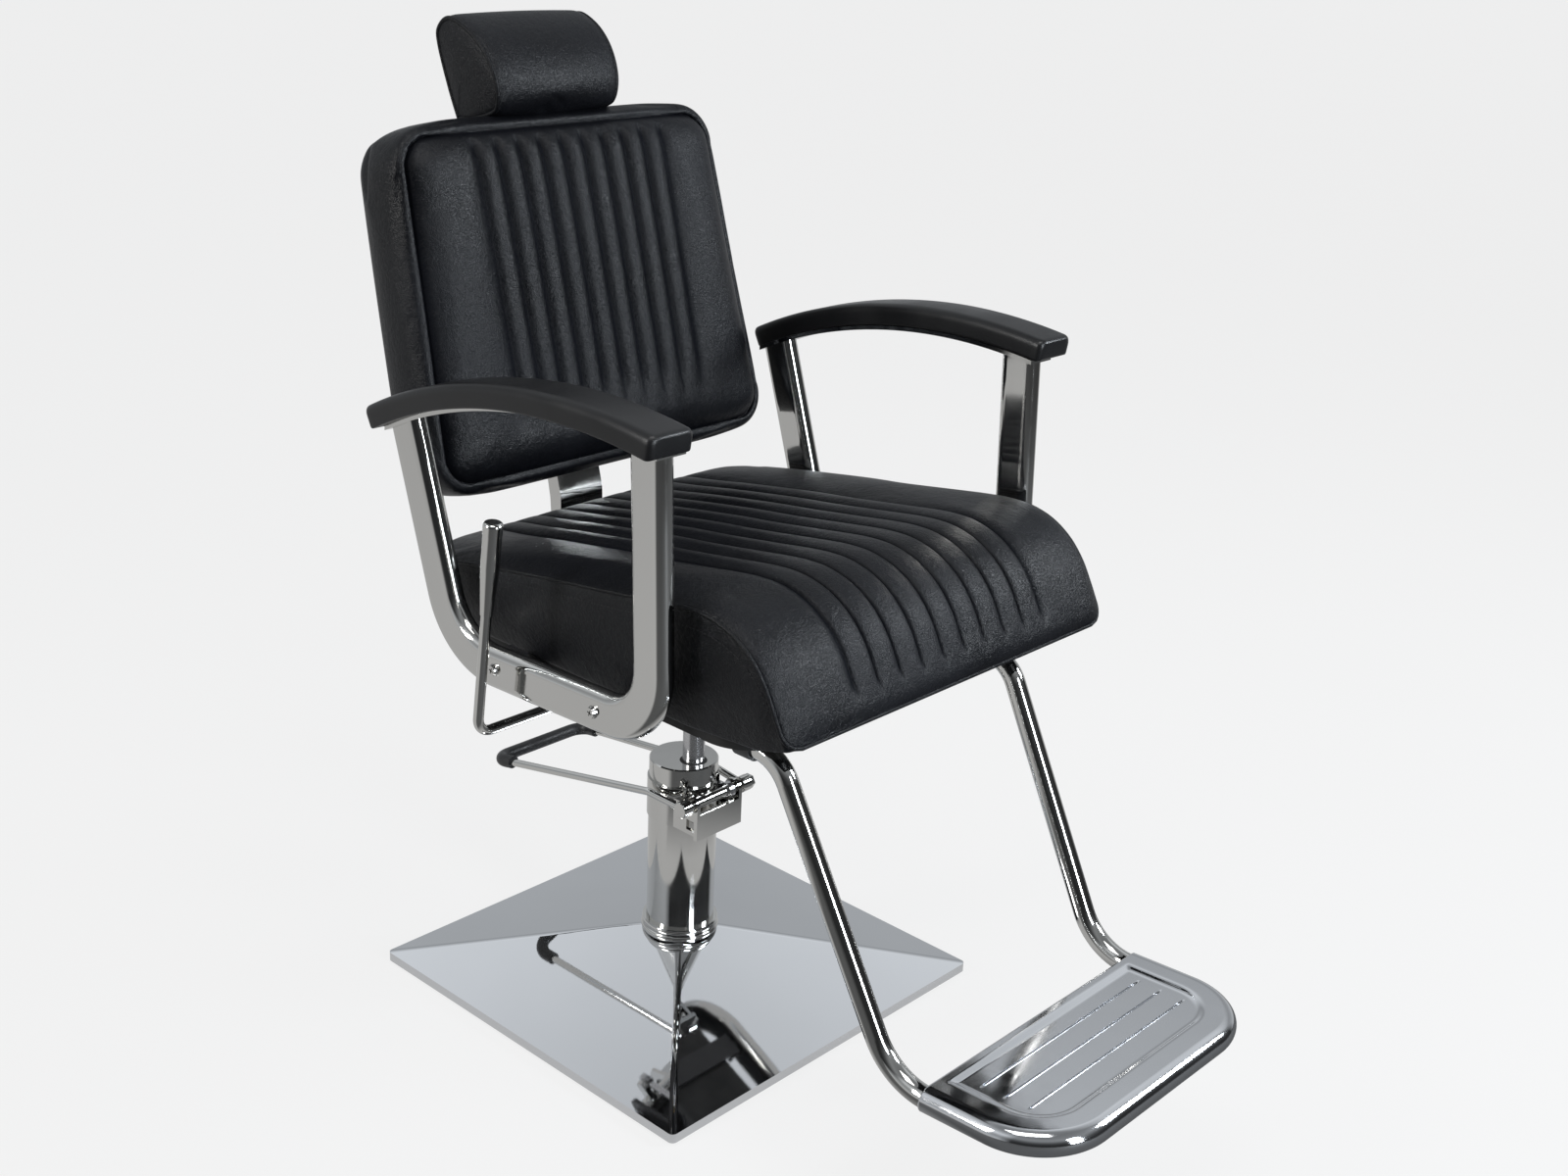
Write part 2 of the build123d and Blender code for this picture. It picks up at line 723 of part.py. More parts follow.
# pan-head screws with a cross recess run through the tubes into the bosses
outer_face = arm_x + arm_tube_wide / 2
screw_head = 4.5
with BuildPart() as arm_screws:
    for side in (-1, 1):
        for bar_y, screw_z in zip(crossbar_y, crossbar_screw_z):
            with BuildSketch(across(side * outer_face)):
                with Locations((bar_y, screw_z)):
                    Circle(7.5)
            extrude(amount=side * screw_head, taper=20)
            with BuildSketch(across(side * outer_face)):
                with Locations((bar_y, screw_z)):
                    Circle(4)
            extrude(amount=-side * (outer_face - tab_x))
            with BuildSketch(across(side * (outer_face + screw_head))):
                with Locations((bar_y, screw_z)):
                    Rectangle(7, 1.4, rotation=20)
                    Rectangle(1.4, 7, rotation=20)
            extrude(amount=-side * 2.5, mode=Mode.SUBTRACT)
finish(arm_screws, "arm_screws")

# ================================================================ footrest
slope = tan(radians(foot_rise))
foot_front_z = foot_rear_z + (foot_corner_y - foot_front) * slope
leg_top_z = board_bottom - bar_thick - foot_tube / 2
leg_top_y = -343.0
leg_back_y = -110.0
leg_half = 200.0
foot_radii = (50, foot_bend, foot_bend, foot_bend, foot_bend, 50)


def footrest_half(side):
    """Corner points of one leg of the footrest tube, from under the board to the front."""
    return [
        (side * leg_half, leg_back_y, leg_top_z), (side * leg_half, leg_top_y, leg_top_z),
        (side * foot_half, foot_corner_y, foot_rear_z), (side * foot_half, foot_front, foot_front_z),
    ]


with BuildPart() as footrest_tube:
    with BuildLine() as foot_path:
        FilletPolyline(*footrest_half(-1), *reversed(footrest_half(1)), radius=foot_radii)
    with BuildSketch(Plane(origin=foot_path.line @ 0, z_dir=foot_path.line % 0)):
        Circle(foot_tube / 2)
        Circle(foot_tube / 2 - 2, mode=Mode.SUBTRACT)
    sweep()
finish(footrest_tube, "footrest_tube")

# saddle clamps hold each leg up against the crossbars' level under the board
clamp_y = (-300.0, -225.0)
with BuildPart() as footrest_clamps:
    for side in (-1, 1):
        for y in clamp_y:
            with BuildSketch(Plane.XZ.offset(-y - 12)):
                with Locations((side * leg_half, leg_top_z)):
                    Circle(foot_tube / 2 + 3)
                    Rectangle(
                        foot_tube + 6, foot_tube / 2 + bar_thick,
                        align=(Align.CENTER, Align.MIN),
                    )
                with Locations((side * leg_half, board_bottom - 3)):
                    Rectangle(66, 3, align=(Align.CENTER, Align.MIN))
                with Locations((side * leg_half, leg_top_z)):
                    Circle(foot_tube / 2 + 0.02, mode=Mode.SUBTRACT)
                with Locations((side * leg_half, board_bottom)):
                    Rectangle(90, 20, align=(Align.CENTER, Align.MIN), mode=Mode.SUBTRACT)
            extrude(amount=24)
finish(footrest_clamps, "footrest_clamps")

with BuildPart() as clamp_bolts:
    for side in (-1, 1):
        for y in clamp_y:
            for lug in (-1, 1):
                with BuildSketch(Plane.XY.offset(board_bottom - 3)):
                    with Locations((side * leg_half + lug * 25, y)):
                        RegularPolygon(6, 6)
                extrude(amount=-4)
finish(clamp_bolts, "clamp_bolts")

foot_plane = Plane(
    origin=(0, foot_corner_y, foot_rear_z), x_dir=(1, 0, 0),
    z_dir=(0, sin(radians(foot_rise)), cos(radians(foot_rise))),
)
tread_rear = -48.0
tread_front = (foot_front - foot_corner_y) / cos(radians(foot_rise))
tread_mid = (tread_rear + tread_front) / 2
with BuildPart() as footplate:
    with BuildSketch(foot_plane.offset(foot_tube / 2 + 0.1)):
        with Locations((0, tread_mid)):
            Rectangle(2 * foot_half, tread_rear - tread_front)
        with Locations((0, tread_front)):
            Rectangle(2 * foot_half + 2, 2 * foot_bend, mode=Mode.SUBTRACT)
        with Locations((0, tread_front + foot_bend)):
            RectangleRounded(2 * foot_half, 2 * foot_bend, foot_bend - 0.5)
            Rectangle(2 * foot_half, foot_bend, align=(Align.CENTER, Align.MIN))
    extrude(amount=plate_sheet)
    # the outline is rolled down round the outside of the tube
    with BuildLine(foot_plane) as roll_path:
        FilletPolyline(
            (-foot_half, tread_rear), (-foot_half, tread_front), (foot_half, tread_front),
            (foot_half, tread_rear), radius=foot_bend,
        )
    roll_start = roll_path.line @ 0
    with BuildSketch(Plane(origin=roll_start, x_dir=(1, 0, 0), z_dir=roll_path.line % 0)):
        Circle(foot_tube / 2 + 0.1 + plate_sheet)
        Circle(foot_tube / 2 + 0.1, mode=Mode.SUBTRACT)
        with Locations((20, 0)):
            Rectangle(40, 60, mode=Mode.SUBTRACT)
        with Locations((-10, -8)):
            Rectangle(30, 20, align=(Align.CENTER, Align.MAX), mode=Mode.SUBTRACT)
    sweep()
finish(footplate, "footplate")

# ================================================================ backrest
def back_outline(margin=0.0):
    """Outline of the backrest on its own plane: wider at the bottom, all corners round."""
    with BuildSketch() as outline:
        with BuildLine():
            Polyline(
                (-back_half_bottom + margin, margin), (back_half_bottom - margin, margin),
                (back_half_top - margin, back_height - margin),
                (-back_half_top + margin, back_height - margin), close=True,
            )
        make_face()
        fillet(outline.vertices(), back_corner - margin / 2)
    return outline.sketch


slot_half = head_bar_wide / 2 + 5
notch_half = bracket_width / 2 + 6
notch_top = 110.0
board_depth = back_cushion_deep
cover_depth = back_cushion_deep + back_board_thick
guide_low = 225.0
with BuildPart() as back_cushion:
    with BuildSketch(on_back(back_cushion_deep)):
        add(back_outline())
    extrude(amount=back_cushion_deep)
    with BuildSketch(on_back(0)):
        add(back_outline(6))
    extrude(amount=back_crown, taper=50)
finish(back_cushion, "back_cushion")

board_bolt_up = (22.0, 78.0)
board_bolt_x = 22.0
with BuildPart() as back_board:
    with BuildSketch(on_back(cover_depth)):
        add(back_outline(14))
        for up in board_bolt_up:
            with Locations((-board_bolt_x, up), (board_bolt_x, up)):
                Circle(4.1, mode=Mode.SUBTRACT)
    extrude(amount=back_board_thick)
finish(back_board, "back_board")

with BuildPart() as back_cover:
    with BuildSketch(on_back(cover_depth)):
        add(back_outline())
    extrude(amount=-back_cover_deep, taper=12)
    # notch for the bracket, open at the bottom
    with BuildSketch(on_back(cover_depth + back_cover_deep)):
        with Locations((0, -5)):
            Rectangle(2 * notch_half, notch_top + 5, align=(Align.CENTER, Align.MIN))
    extrude(amount=back_cover_deep, mode=Mode.SUBTRACT)
    # channel for the headrest guide, open at the top
    with BuildSketch(on_back(cover_depth + 12)):
        with Locations((0, guide_low - 2)):
            Rectangle(2 * slot_half + 6, back_height, align=(Align.CENTER, Align.MIN))
    extrude(amount=12, mode=Mode.SUBTRACT)
finish(back_cover, "back_cover")

# The bracket: an upright channel bolted to the board, bent forward under the seat to
# the hinge sleeve, with the strut's crank on its right-hand end.
bracket_depth = cover_depth + bracket_thick / 2
bend_point = back_point(-41, bracket_depth)
low_point = (bend_point[0] - 3, 520.0)
bracket_side = (back_point(100, bracket_depth), bend_point, low_point, (hinge_y + 4, hinge_z))
flange_deep = 18.0
sleeve_half = rail_x - rail_thick / 2 - 0.5
sleeve_radius = 12.0
crank_low = (
    hinge_y + crank_radius * sin(radians(crank_trail)),
    hinge_z - crank_radius * cos(radians(crank_trail)),
)
with BuildPart() as back_bracket:
    with BuildSketch(across(-bracket_width / 2)):
        with BuildLine() as bracket_line:
            FilletPolyline(*bracket_side, radius=(40, 22))
        trace(line_width=bracket_thick)
    extrude(amount=bracket_width)
    for side in (-1, 1):
        with BuildSketch(across(side * (bracket_width / 2 - 2.5) - 2.5)):
            with BuildLine():
                Polyline(
                    back_point(100, bracket_depth), back_point(60, bracket_depth + 12),
                    back_point(-41, bracket_depth + flange_deep), (low_point[0] + 14, 530),
                    (low_point[0] - 4, 498), (hinge_y + 4, hinge_z - 7), (hinge_y + 4, hinge_z),
                    (low_point[0] - 6, 516), (low_point[0], 532), bend_point,
                    close=True,
                )
            make_face()
        extrude(amount=5)
    with BuildSketch(across(-sleeve_half)):
        with Locations((hinge_y, hinge_z)):
            Circle(sleeve_radius)
    extrude(amount=2 * sleeve_half)
    with BuildSketch(across(-sleeve_half)):
        with Locations((hinge_y, hinge_z)):
            Circle(hinge_pin / 2 + FIT)
    extrude(amount=2 * sleeve_half, mode=Mode.SUBTRACT)
    # crank for the strut
    with BuildSketch(across(strut_x - 13)):
        with Locations((hinge_y, hinge_z), crank_low):
            Circle(9)
        with Locations(((hinge_y + crank_low[0]) / 2, (hinge_z + crank_low[1]) / 2)):
            Rectangle(18, crank_radius, rotation=crank_trail)
        with Locations((hinge_y, hinge_z)):
            Circle(hinge_pin / 2 + FIT, mode=Mode.SUBTRACT)
    extrude(amount=8)
    with BuildSketch(on_back(cover_depth)):
        for up in board_bolt_up:
            with Locations((-board_bolt_x, up), (board_bolt_x, up)):
                Circle(4.1)
    extrude(amount=-bracket_thick, mode=Mode.SUBTRACT)
finish(back_bracket, "back_bracket")

with BuildPart() as bracket_bolts:
    for up in board_bolt_up:
        for x in (-board_bolt_x, board_bolt_x):
            with BuildSketch(on_back(cover_depth + bracket_thick)):
                with Locations((x, up)):
                    RegularPolygon(7, 6)
            extrude(amount=-5)
            with BuildSketch(on_back(cover_depth + bracket_thick)):
                with Locations((x, up)):
                    Circle(4)
            extrude(amount=bracket_thick + back_board_thick)
finish(bracket_bolts, "bracket_bolts")

with BuildPart() as recline_pin:
    with BuildSketch(across(-rail_x - rail_thick / 2 - 4)):
        with Locations((hinge_y, hinge_z)):
            Circle(hinge_pin / 2)
    extrude(amount=2 * (rail_x + rail_thick / 2 + 4))
    with BuildSketch(across(-rail_x - rail_thick / 2 - 4)):
        with Locations((hinge_y, hinge_z)):
            Circle(9)
    extrude(amount=3.5)
finish(recline_pin, "recline_pin")

# ================================================================ strut
strut_front = -4.0
strut_length = 96.0
strut_rod_in = 40.0
eye_width = 8.0
with BuildPart() as strut_cylinder:
    with BuildSketch(Plane.XZ.offset(-strut_front)):
        with Locations((strut_x, strut_z)):
            Circle(strut_diameter / 2)
    extrude(amount=-strut_length)
    chamfer(strut_cylinder.edges().group_by(Axis.Y)[-1], 2)
    with BuildSketch(Plane.XZ.offset(-strut_front - strut_length)):
        with Locations((strut_x, strut_z)):
            Circle(strut_rod / 2 + FIT)
    extrude(amount=72, mode=Mode.SUBTRACT)
    with BuildSketch(Plane.XZ.offset(-strut_front)):
        with Locations((strut_x, strut_z)):
            Circle(2.6)
    extrude(amount=-16, mode=Mode.SUBTRACT)
finish(strut_cylinder, "strut_cylinder")

rod_rear = crank_low[0]
with BuildPart() as strut_piston_rod:
    with BuildSketch(Plane.XZ.offset(-strut_front - strut_length + strut_rod_in)):
        with Locations((strut_x, strut_z)):
            Circle(strut_rod / 2)
    extrude(amount=-(rod_rear - 9 - strut_front - strut_length + strut_rod_in))
    # the eye is a slot, taller than the pin, because the crank swings through an arc
    with BuildSketch(across(strut_x - eye_width / 2)):
        with Locations((rod_rear, strut_z)):
            SlotOverall(28, 20, rotation=90)
            SlotOverall(8.6 + 7, 8.6, rotation=90, mode=Mode.SUBTRACT)
    extrude(amount=eye_width)
finish(strut_piston_rod, "strut_piston_rod")

with BuildPart() as crank_pin:
    with BuildSketch(across(strut_x - 5)):
        with Locations(crank_low):
            Circle(4)
    extrude(amount=13)
    with BuildSketch(across(strut_x + eye_width / 2 + 1)):
        with Locations(crank_low):
            Circle(6)
    extrude(amount=3)
finish(crank_pin, "crank_pin")

valve_front = lever_y + 6.2
with BuildPart() as valve_pin:
    with BuildSketch(Plane.XZ.offset(-valve_front)):
        with Locations((strut_x, strut_z)):
            Circle(2.5)
    extrude(amount=-(strut_front + 10 - valve_front))
finish(valve_pin, "valve_pin")

# ================================================================ release lever
lever_tip = (
    lever_x,
    lever_y - lever_length * sin(radians(lever_lean)),
    lever_z + lever_length * cos(radians(lever_lean)),
)
lever_end_x = strut_x + 16
with BuildPart() as release_lever:
    with BuildLine() as lever_path:
        FilletPolyline(
            (lever_end_x, lever_y, lever_z), (lever_x, lever_y, lever_z), lever_tip, radius=20,
        )
    with BuildSketch(Plane(origin=lever_path.line @ 0, z_dir=lever_path.line % 0)):
        Circle(lever_rod / 2)
    sweep()
finish(release_lever, "release_lever")


def along_lever(distance):
    """Plane square to the lever's handle, `distance` above its bend."""
    return Plane(
        origin=(
            lever_x,
            lever_y - distance * sin(radians(lever_lean)),
            lever_z + distance * cos(radians(lever_lean)),
        ),
        x_dir=(1, 0, 0),
        z_dir=(0, -sin(radians(lever_lean)), cos(radians(lever_lean))),
    )


grip_start = 150.0
grip_full = 206.0
grip_end = 246.0
with BuildPart() as lever_grip:
    with BuildSketch(along_lever(grip_start)):
        Circle(lever_rod / 2 + 0.9)
    with BuildSketch(along_lever(grip_full)):
        Circle(10.5)
    loft()
    with BuildSketch(along_lever(grip_full)):
        Circle(10.5)
    extrude(amount=grip_end - grip_full)
    with BuildSketch(along_lever(grip_start)):
        Circle(lever_rod / 2 + 0.05)
    extrude(amount=grip_end - grip_start, mode=Mode.SUBTRACT)
finish(lever_grip, "lever_grip")

with BuildPart() as lever_cap:
    with BuildSketch(along_lever(grip_end + 0.1)):
        Circle(11)
    extrude(amount=14)
    fillet(lever_cap.edges().group_by(Axis.Z)[-1], 4)
    with BuildSketch(along_lever(grip_end)):
        Circle(lever_rod / 2 + 0.05)
    extrude(amount=11, mode=Mode.SUBTRACT)
finish(lever_cap, "lever_cap")

with BuildPart() as lever_cam:
    with BuildSketch(across(strut_x - 5)):
        with Locations((lever_y, lever_z)):
            Circle(lever_rod / 2 + 2.5)
            Rectangle(10, 14, align=(Align.CENTER, Align.MIN))
            Circle(lever_rod / 2 + 0.02, mode=Mode.SUBTRACT)
    extrude(amount=10)
finish(lever_cam, "lever_cam")

# ================================================================ headrest
bar_depth = cover_depth + 2.4
bar_low = 262.0
head_low = 424.0
head_board_depth = 70.0
with BuildPart() as headrest_guide:
    with BuildSketch(on_back(cover_depth + 11)):
        with Locations((0, guide_low)):
            Rectangle(head_bar_wide + 6, back_height - guide_low, align=(Align.CENTER, Align.MIN))
    extrude(amount=11)
    with BuildSketch(on_back(bar_depth + head_bar_thick + 0.3)):
        with Locations((0, guide_low)):
            Rectangle(head_bar_wide + 0.6, back_height - guide_low, align=(Align.CENTER, Align.MIN))
    extrude(amount=head_bar_thick + 0.6, mode=Mode.SUBTRACT)
finish(headrest_guide, "headrest_guide")

with BuildPart() as headrest_bar:
    with BuildSketch(on_back(bar_depth + head_bar_thick)):
        with Locations((0, bar_low)):
            Rectangle(head_bar_wide, 525 - bar_low, align=(Align.CENTER, Align.MIN))
    extrude(amount=head_bar_thick)
finish(headrest_bar, "headrest_bar")

with BuildPart() as headrest_board:
    with BuildSketch(on_back(bar_depth)):
        with Locations((0, head_low + 8)):
            RectangleRounded(2 * (head_half - 22), 100, 12, align=(Align.CENTER, Align.MIN))
    extrude(amount=bar_depth - head_board_depth)
finish(headrest_board, "headrest_board")

with BuildPart() as headrest_screws:
    with BuildSketch(on_back(bar_depth + head_bar_thick)):
        with Locations((0, 470), (0, 505)):
            Circle(6)
    extrude(amount=-3)
finish(headrest_screws, "headrest_screws")

# The pad's side view is a D: flat behind, round over the top, full at the front.
head_plane = Plane(
    origin=(-head_half, back_origin_y, back_origin_z),
    x_dir=(0, cos(radians(lean)), -sin(radians(lean))),
    z_dir=(1, 0, 0),
)
with BuildPart() as headrest_pad:
    with BuildSketch(head_plane):
        with BuildLine():
            Polyline((10, head_low), (head_board_depth, head_low), (head_board_depth, 546))
            Spline(
                (head_board_depth, 546), (44, 550), (14, 530), (-6, 498), (-9, 466), (10, head_low),
                tangents=((-0.6, 0.6), (0.9, -1)),
            )
        make_face()
    extrude(amount=2 * head_half)
finish(headrest_pad, "headrest_pad")
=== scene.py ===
"""Hydraulic barber chair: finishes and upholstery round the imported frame, in metres."""

import math

import bmesh
import bpy
import numpy as np
from mathutils import Matrix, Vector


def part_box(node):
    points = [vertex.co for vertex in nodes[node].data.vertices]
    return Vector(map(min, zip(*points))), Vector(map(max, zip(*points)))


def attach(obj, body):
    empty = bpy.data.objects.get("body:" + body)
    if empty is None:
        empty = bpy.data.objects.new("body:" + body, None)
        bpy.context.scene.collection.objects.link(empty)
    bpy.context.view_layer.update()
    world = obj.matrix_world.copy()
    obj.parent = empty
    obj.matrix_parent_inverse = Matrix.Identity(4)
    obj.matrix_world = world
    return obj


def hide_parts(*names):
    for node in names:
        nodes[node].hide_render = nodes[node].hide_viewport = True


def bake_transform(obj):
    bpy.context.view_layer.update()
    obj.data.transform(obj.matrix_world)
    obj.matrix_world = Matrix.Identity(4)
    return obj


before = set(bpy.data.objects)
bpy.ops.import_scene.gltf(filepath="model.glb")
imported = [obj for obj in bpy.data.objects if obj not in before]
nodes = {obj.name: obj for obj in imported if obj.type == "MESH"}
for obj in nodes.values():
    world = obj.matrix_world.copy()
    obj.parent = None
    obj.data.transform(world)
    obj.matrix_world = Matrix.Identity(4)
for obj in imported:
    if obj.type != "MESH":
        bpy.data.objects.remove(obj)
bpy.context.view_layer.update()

# ---------------------------------------------------------------- studio
# A pale floor runs out to the horizon under four softboxes. The camera stands at the
# sitter's right front, a little above the back. Mirrors see one half of the room lit and
# the other dark, so that chrome shows both pale and nearly black planes.
yaw, pitch, roll = np.radians((47.92, 20.92, 2.67))
camera_spot = (-1.5642, -1.5768, 1.3914)
forward = np.array([
    math.sin(yaw) * math.cos(pitch), math.cos(yaw) * math.cos(pitch), -math.sin(pitch),
])
level = np.cross(forward, (0, 0, 1))
level /= np.linalg.norm(level)
upright = np.cross(level, forward)
view_right = level * math.cos(roll) + upright * math.sin(roll)
view_up = upright * math.cos(roll) - level * math.sin(roll)
lens = bpy.data.cameras.new("camera")
lens.lens = 44.48
lens.sensor_width = 36
lens.shift_x = -0.0027
camera = bpy.data.objects.new("camera", lens)
camera.matrix_world = Matrix(
    np.vstack([
        np.column_stack([view_right, view_up, -forward, camera_spot]),
        (0, 0, 0, 1),
    ]).tolist()
)
bpy.context.scene.collection.objects.link(camera)
bpy.context.scene.camera = camera
bpy.context.scene.view_settings.view_transform = "Standard"


def finish_named(name, colour, roughness, **sockets):
    """A material with one Principled shader. A keyword such as coat_weight sets the socket
    of that name. Returns the material, its node tree and the shader."""
    material = bpy.data.materials.new(name)
    material.use_nodes = True
    tree = material.node_tree
    shader = tree.nodes["Principled BSDF"]
    shader.inputs["Base Color"].default_value = (*colour, 1)
    shader.inputs["Roughness"].default_value = roughness
    for socket, value in sockets.items():
        label = socket.replace("_", " ").title().replace("Ior", "IOR")
        shader.inputs[label].default_value = value
    return material, tree, shader


def noise(tree, scale, detail=3.0, distortion=0.0, stretch=(1, 1, 1)):
    """Noise over the object's own coordinates, in features per metre, stretched per axis."""
    place = tree.nodes.new("ShaderNodeTexCoord")
    turn = tree.nodes.new("ShaderNodeMapping")
    turn.inputs["Scale"].default_value = stretch
    texture = tree.nodes.new("ShaderNodeTexNoise")
    texture.inputs["Scale"].default_value = scale
    texture.inputs["Detail"].default_value = detail
    texture.inputs["Distortion"].default_value = distortion
    tree.links.new(place.outputs["Object"], turn.inputs["Vector"])
    tree.links.new(turn.outputs["Vector"], texture.inputs["Vector"])
    return texture.outputs["Fac"]


def spread(tree, value, low, high, start=0.3, end=0.7):
    """Maps a texture's value from start..end to low..high."""
    ramp = tree.nodes.new("ShaderNodeMapRange")
    limits = (("From Min", start), ("From Max", end), ("To Min", low), ("To Max", high))
    for socket, number in limits:
        ramp.inputs[socket].default_value = number
    tree.links.new(value, ramp.inputs["Value"])
    return ramp.outputs["Result"]


def tint(tree, shader, value, dark, light):
    """Colour variation: the base colour runs from dark to light with the value."""
    mix = tree.nodes.new("ShaderNodeMix")
    mix.data_type = "RGBA"
    mix.inputs[6].default_value = (*dark, 1)
    mix.inputs[7].default_value = (*light, 1)
    tree.links.new(value, mix.inputs[0])
    tree.links.new(mix.outputs[2], shader.inputs["Base Color"])


def relief(tree, shader, *layers):
    """Bump made of (height value, depth in metres, strength) layers, one over another."""
    normal = None
    for value, depth, strength in layers:
        bump = tree.nodes.new("ShaderNodeBump")
        bump.inputs["Distance"].default_value = depth
        bump.inputs["Strength"].default_value = strength
        tree.links.new(value, bump.inputs["Height"])
        if normal is not None:
            tree.links.new(normal, bump.inputs["Normal"])
        normal = bump.outputs["Normal"]
    tree.links.new(normal, shader.inputs["Normal"])


def grid_quads(rows, columns, first=0, close_rows=False, close_columns=False):
    """Corner numbers of the quads between neighbouring rows and columns of a grid."""
    index = first + np.arange(rows * columns).reshape(rows, columns)
    if close_rows:
        index = np.vstack([index, index[:1]])
    if close_columns:
        index = np.hstack([index, index[:, :1]])
    quads = np.stack([index[:-1, :-1], index[1:, :-1], index[1:, 1:], index[:-1, 1:]], -1)
    return quads.reshape(-1, 4)


def piece_from(name, points, faces, finish, smooth=True):
    """A mesh object at the origin from an array of points and a list of faces."""
    mesh = bpy.data.meshes.new(name)
    mesh.from_pydata(np.asarray(points, float).reshape(-1, 3).tolist(), [], [list(f) for f in faces])
    mesh.materials.append(finish)
    mesh.polygons.foreach_set("use_smooth", np.full(len(mesh.polygons), smooth))
    mesh.update()
    piece = bpy.data.objects.new(name, mesh)
    bpy.context.scene.collection.objects.link(piece)
    return piece


floor_reach, floor_lines = 30.0, 9
floor_edge = np.linspace(-floor_reach, floor_reach, floor_lines)
floor_x, floor_y = np.meshgrid(floor_edge, floor_edge)
floor_paint, tree, shader = finish_named(
    "floor_paint", (0.06, 0.06, 0.06), 0.8, emission_color=(1, 1, 1, 1), emission_strength=0.8,
)
tint(tree, shader, noise(tree, 1.5), (0.057, 0.057, 0.057), (0.063, 0.063, 0.063))
shader.inputs["Specular IOR Level"].default_value = 0.1


def reckoned(tree, kind, one, other):
    """One arithmetic step of a material; a side given as a number is set on its socket."""
    step = tree.nodes.new("ShaderNodeMath")
    step.operation = kind
    for socket, value in zip(step.inputs, (one, other)):
        if isinstance(value, (int, float)):
            socket.default_value = value
        else:
            tree.links.new(value, socket)
    return step.outputs[0]


def lit_side(tree, place):
    """1 on the left and far side of the studio as the camera sees it, 0 on the dark side:
    the place's heading is compared with two fixed headings and the better match counts.
    A place is lit from `least` upwards, and fully so 0.2 later."""
    flat = tree.nodes.new("ShaderNodeVectorMath")
    flat.operation = "MULTIPLY"
    flat.inputs[1].default_value = (1, 1, 0)
    aimed = tree.nodes.new("ShaderNodeVectorMath")
    aimed.operation = "NORMALIZE"
    tree.links.new(place, flat.inputs[0])
    tree.links.new(flat.outputs[0], aimed.inputs[0])
    matches = []
    for heading, least in (((-0.67, 0.74, 0), 0.55), ((0.74, 0.67, 0), 0.45)):
        match = tree.nodes.new("ShaderNodeVectorMath")
        match.operation = "DOT_PRODUCT"
        match.inputs[1].default_value = heading
        tree.links.new(aimed.outputs[0], match.inputs[0])
        matches.append(reckoned(tree, "SUBTRACT", match.outputs["Value"], least))
    return spread(tree, reckoned(tree, "MAXIMUM", *matches), 0, 1, 0, 0.2)


# the camera sees an evenly bright floor; mirrors see it glow, a painted pool of light near the base and
# a painted lit side
seen = tree.nodes.new("ShaderNodeLightPath")
ground = tree.nodes.new("ShaderNodeTexCoord")
reach = tree.nodes.new("ShaderNodeVectorMath")
reach.operation = "LENGTH"
tree.links.new(ground.outputs["Object"], reach.inputs[0])
near = spread(tree, reach.outputs["Value"], 1, 0, 0.38, 0.60)
pale = reckoned(tree, "MAXIMUM", near, lit_side(tree, ground.outputs["Object"]))
mirrored = spread(tree, pale, 0.03, 0.46, 0, 1)
glow = tree.nodes.new("ShaderNodeMix")
glow.inputs[3].default_value = 0.815
tree.links.new(seen.outputs["Is Camera Ray"], glow.inputs[0])
tree.links.new(mirrored, glow.inputs[2])
tree.links.new(glow.outputs[0], shader.inputs["Emission Strength"])
floor_points = np.stack([floor_x, floor_y, np.zeros_like(floor_x)], -1)
floor_faces = grid_quads(floor_lines, floor_lines)[:, ::-1]
floor = piece_from("floor", floor_points, floor_faces, floor_paint)


def soft_light(name, spot, aim, width, height, watts, colour=(1, 1, 1)):
    """Rectangular softbox at spot, facing aim, with its height along the vertical."""
    lamp = bpy.data.lights.new(name, "AREA")
    lamp.shape = "RECTANGLE"
    lamp.size = width
    lamp.size_y = height
    lamp.energy = watts
    lamp.color = colour
    box = bpy.data.objects.new(name, lamp)
    back = np.asarray(spot, float) - np.asarray(aim, float)
    back /= np.linalg.norm(back)
    across = np.cross((0, 0.001, 1), back)
    across /= np.linalg.norm(across)
    turned = np.column_stack([across, np.cross(back, across), back, spot])
    box.matrix_world = Matrix(np.vstack([turned, (0, 0, 0, 1)]).tolist())
    bpy.context.scene.collection.objects.link(box)
    return box


soft_light("overhead", (-0.5, -0.6, 3.0), (0, 0, 0.4), 1.4, 1.1, 26)
soft_light("left_box", (-2.9, 0.9, 2.0), (0, 0.1, 0.8), 0.5, 1.6, 50, (1, 0.99, 0.97))
soft_light("front_box", (-0.2, -3.1, 1.3), (0, 0, 0.7), 0.65, 1.8, 78, (0.88, 0.94, 1))
soft_light("right_box", (2.2, -2.1, 2.15), (0, -0.3, 0.6), 0.8, 1.0, 84, (0.88, 0.94, 1))

world = bpy.data.worlds.new("studio_air")
bpy.context.scene.world = world
world.use_nodes = True
air = world.node_tree
sky_place = air.nodes.new("ShaderNodeTexCoord")
sky_split = air.nodes.new("ShaderNodeSeparateXYZ")
air.links.new(sky_place.outputs["Generated"], sky_split.inputs[0])
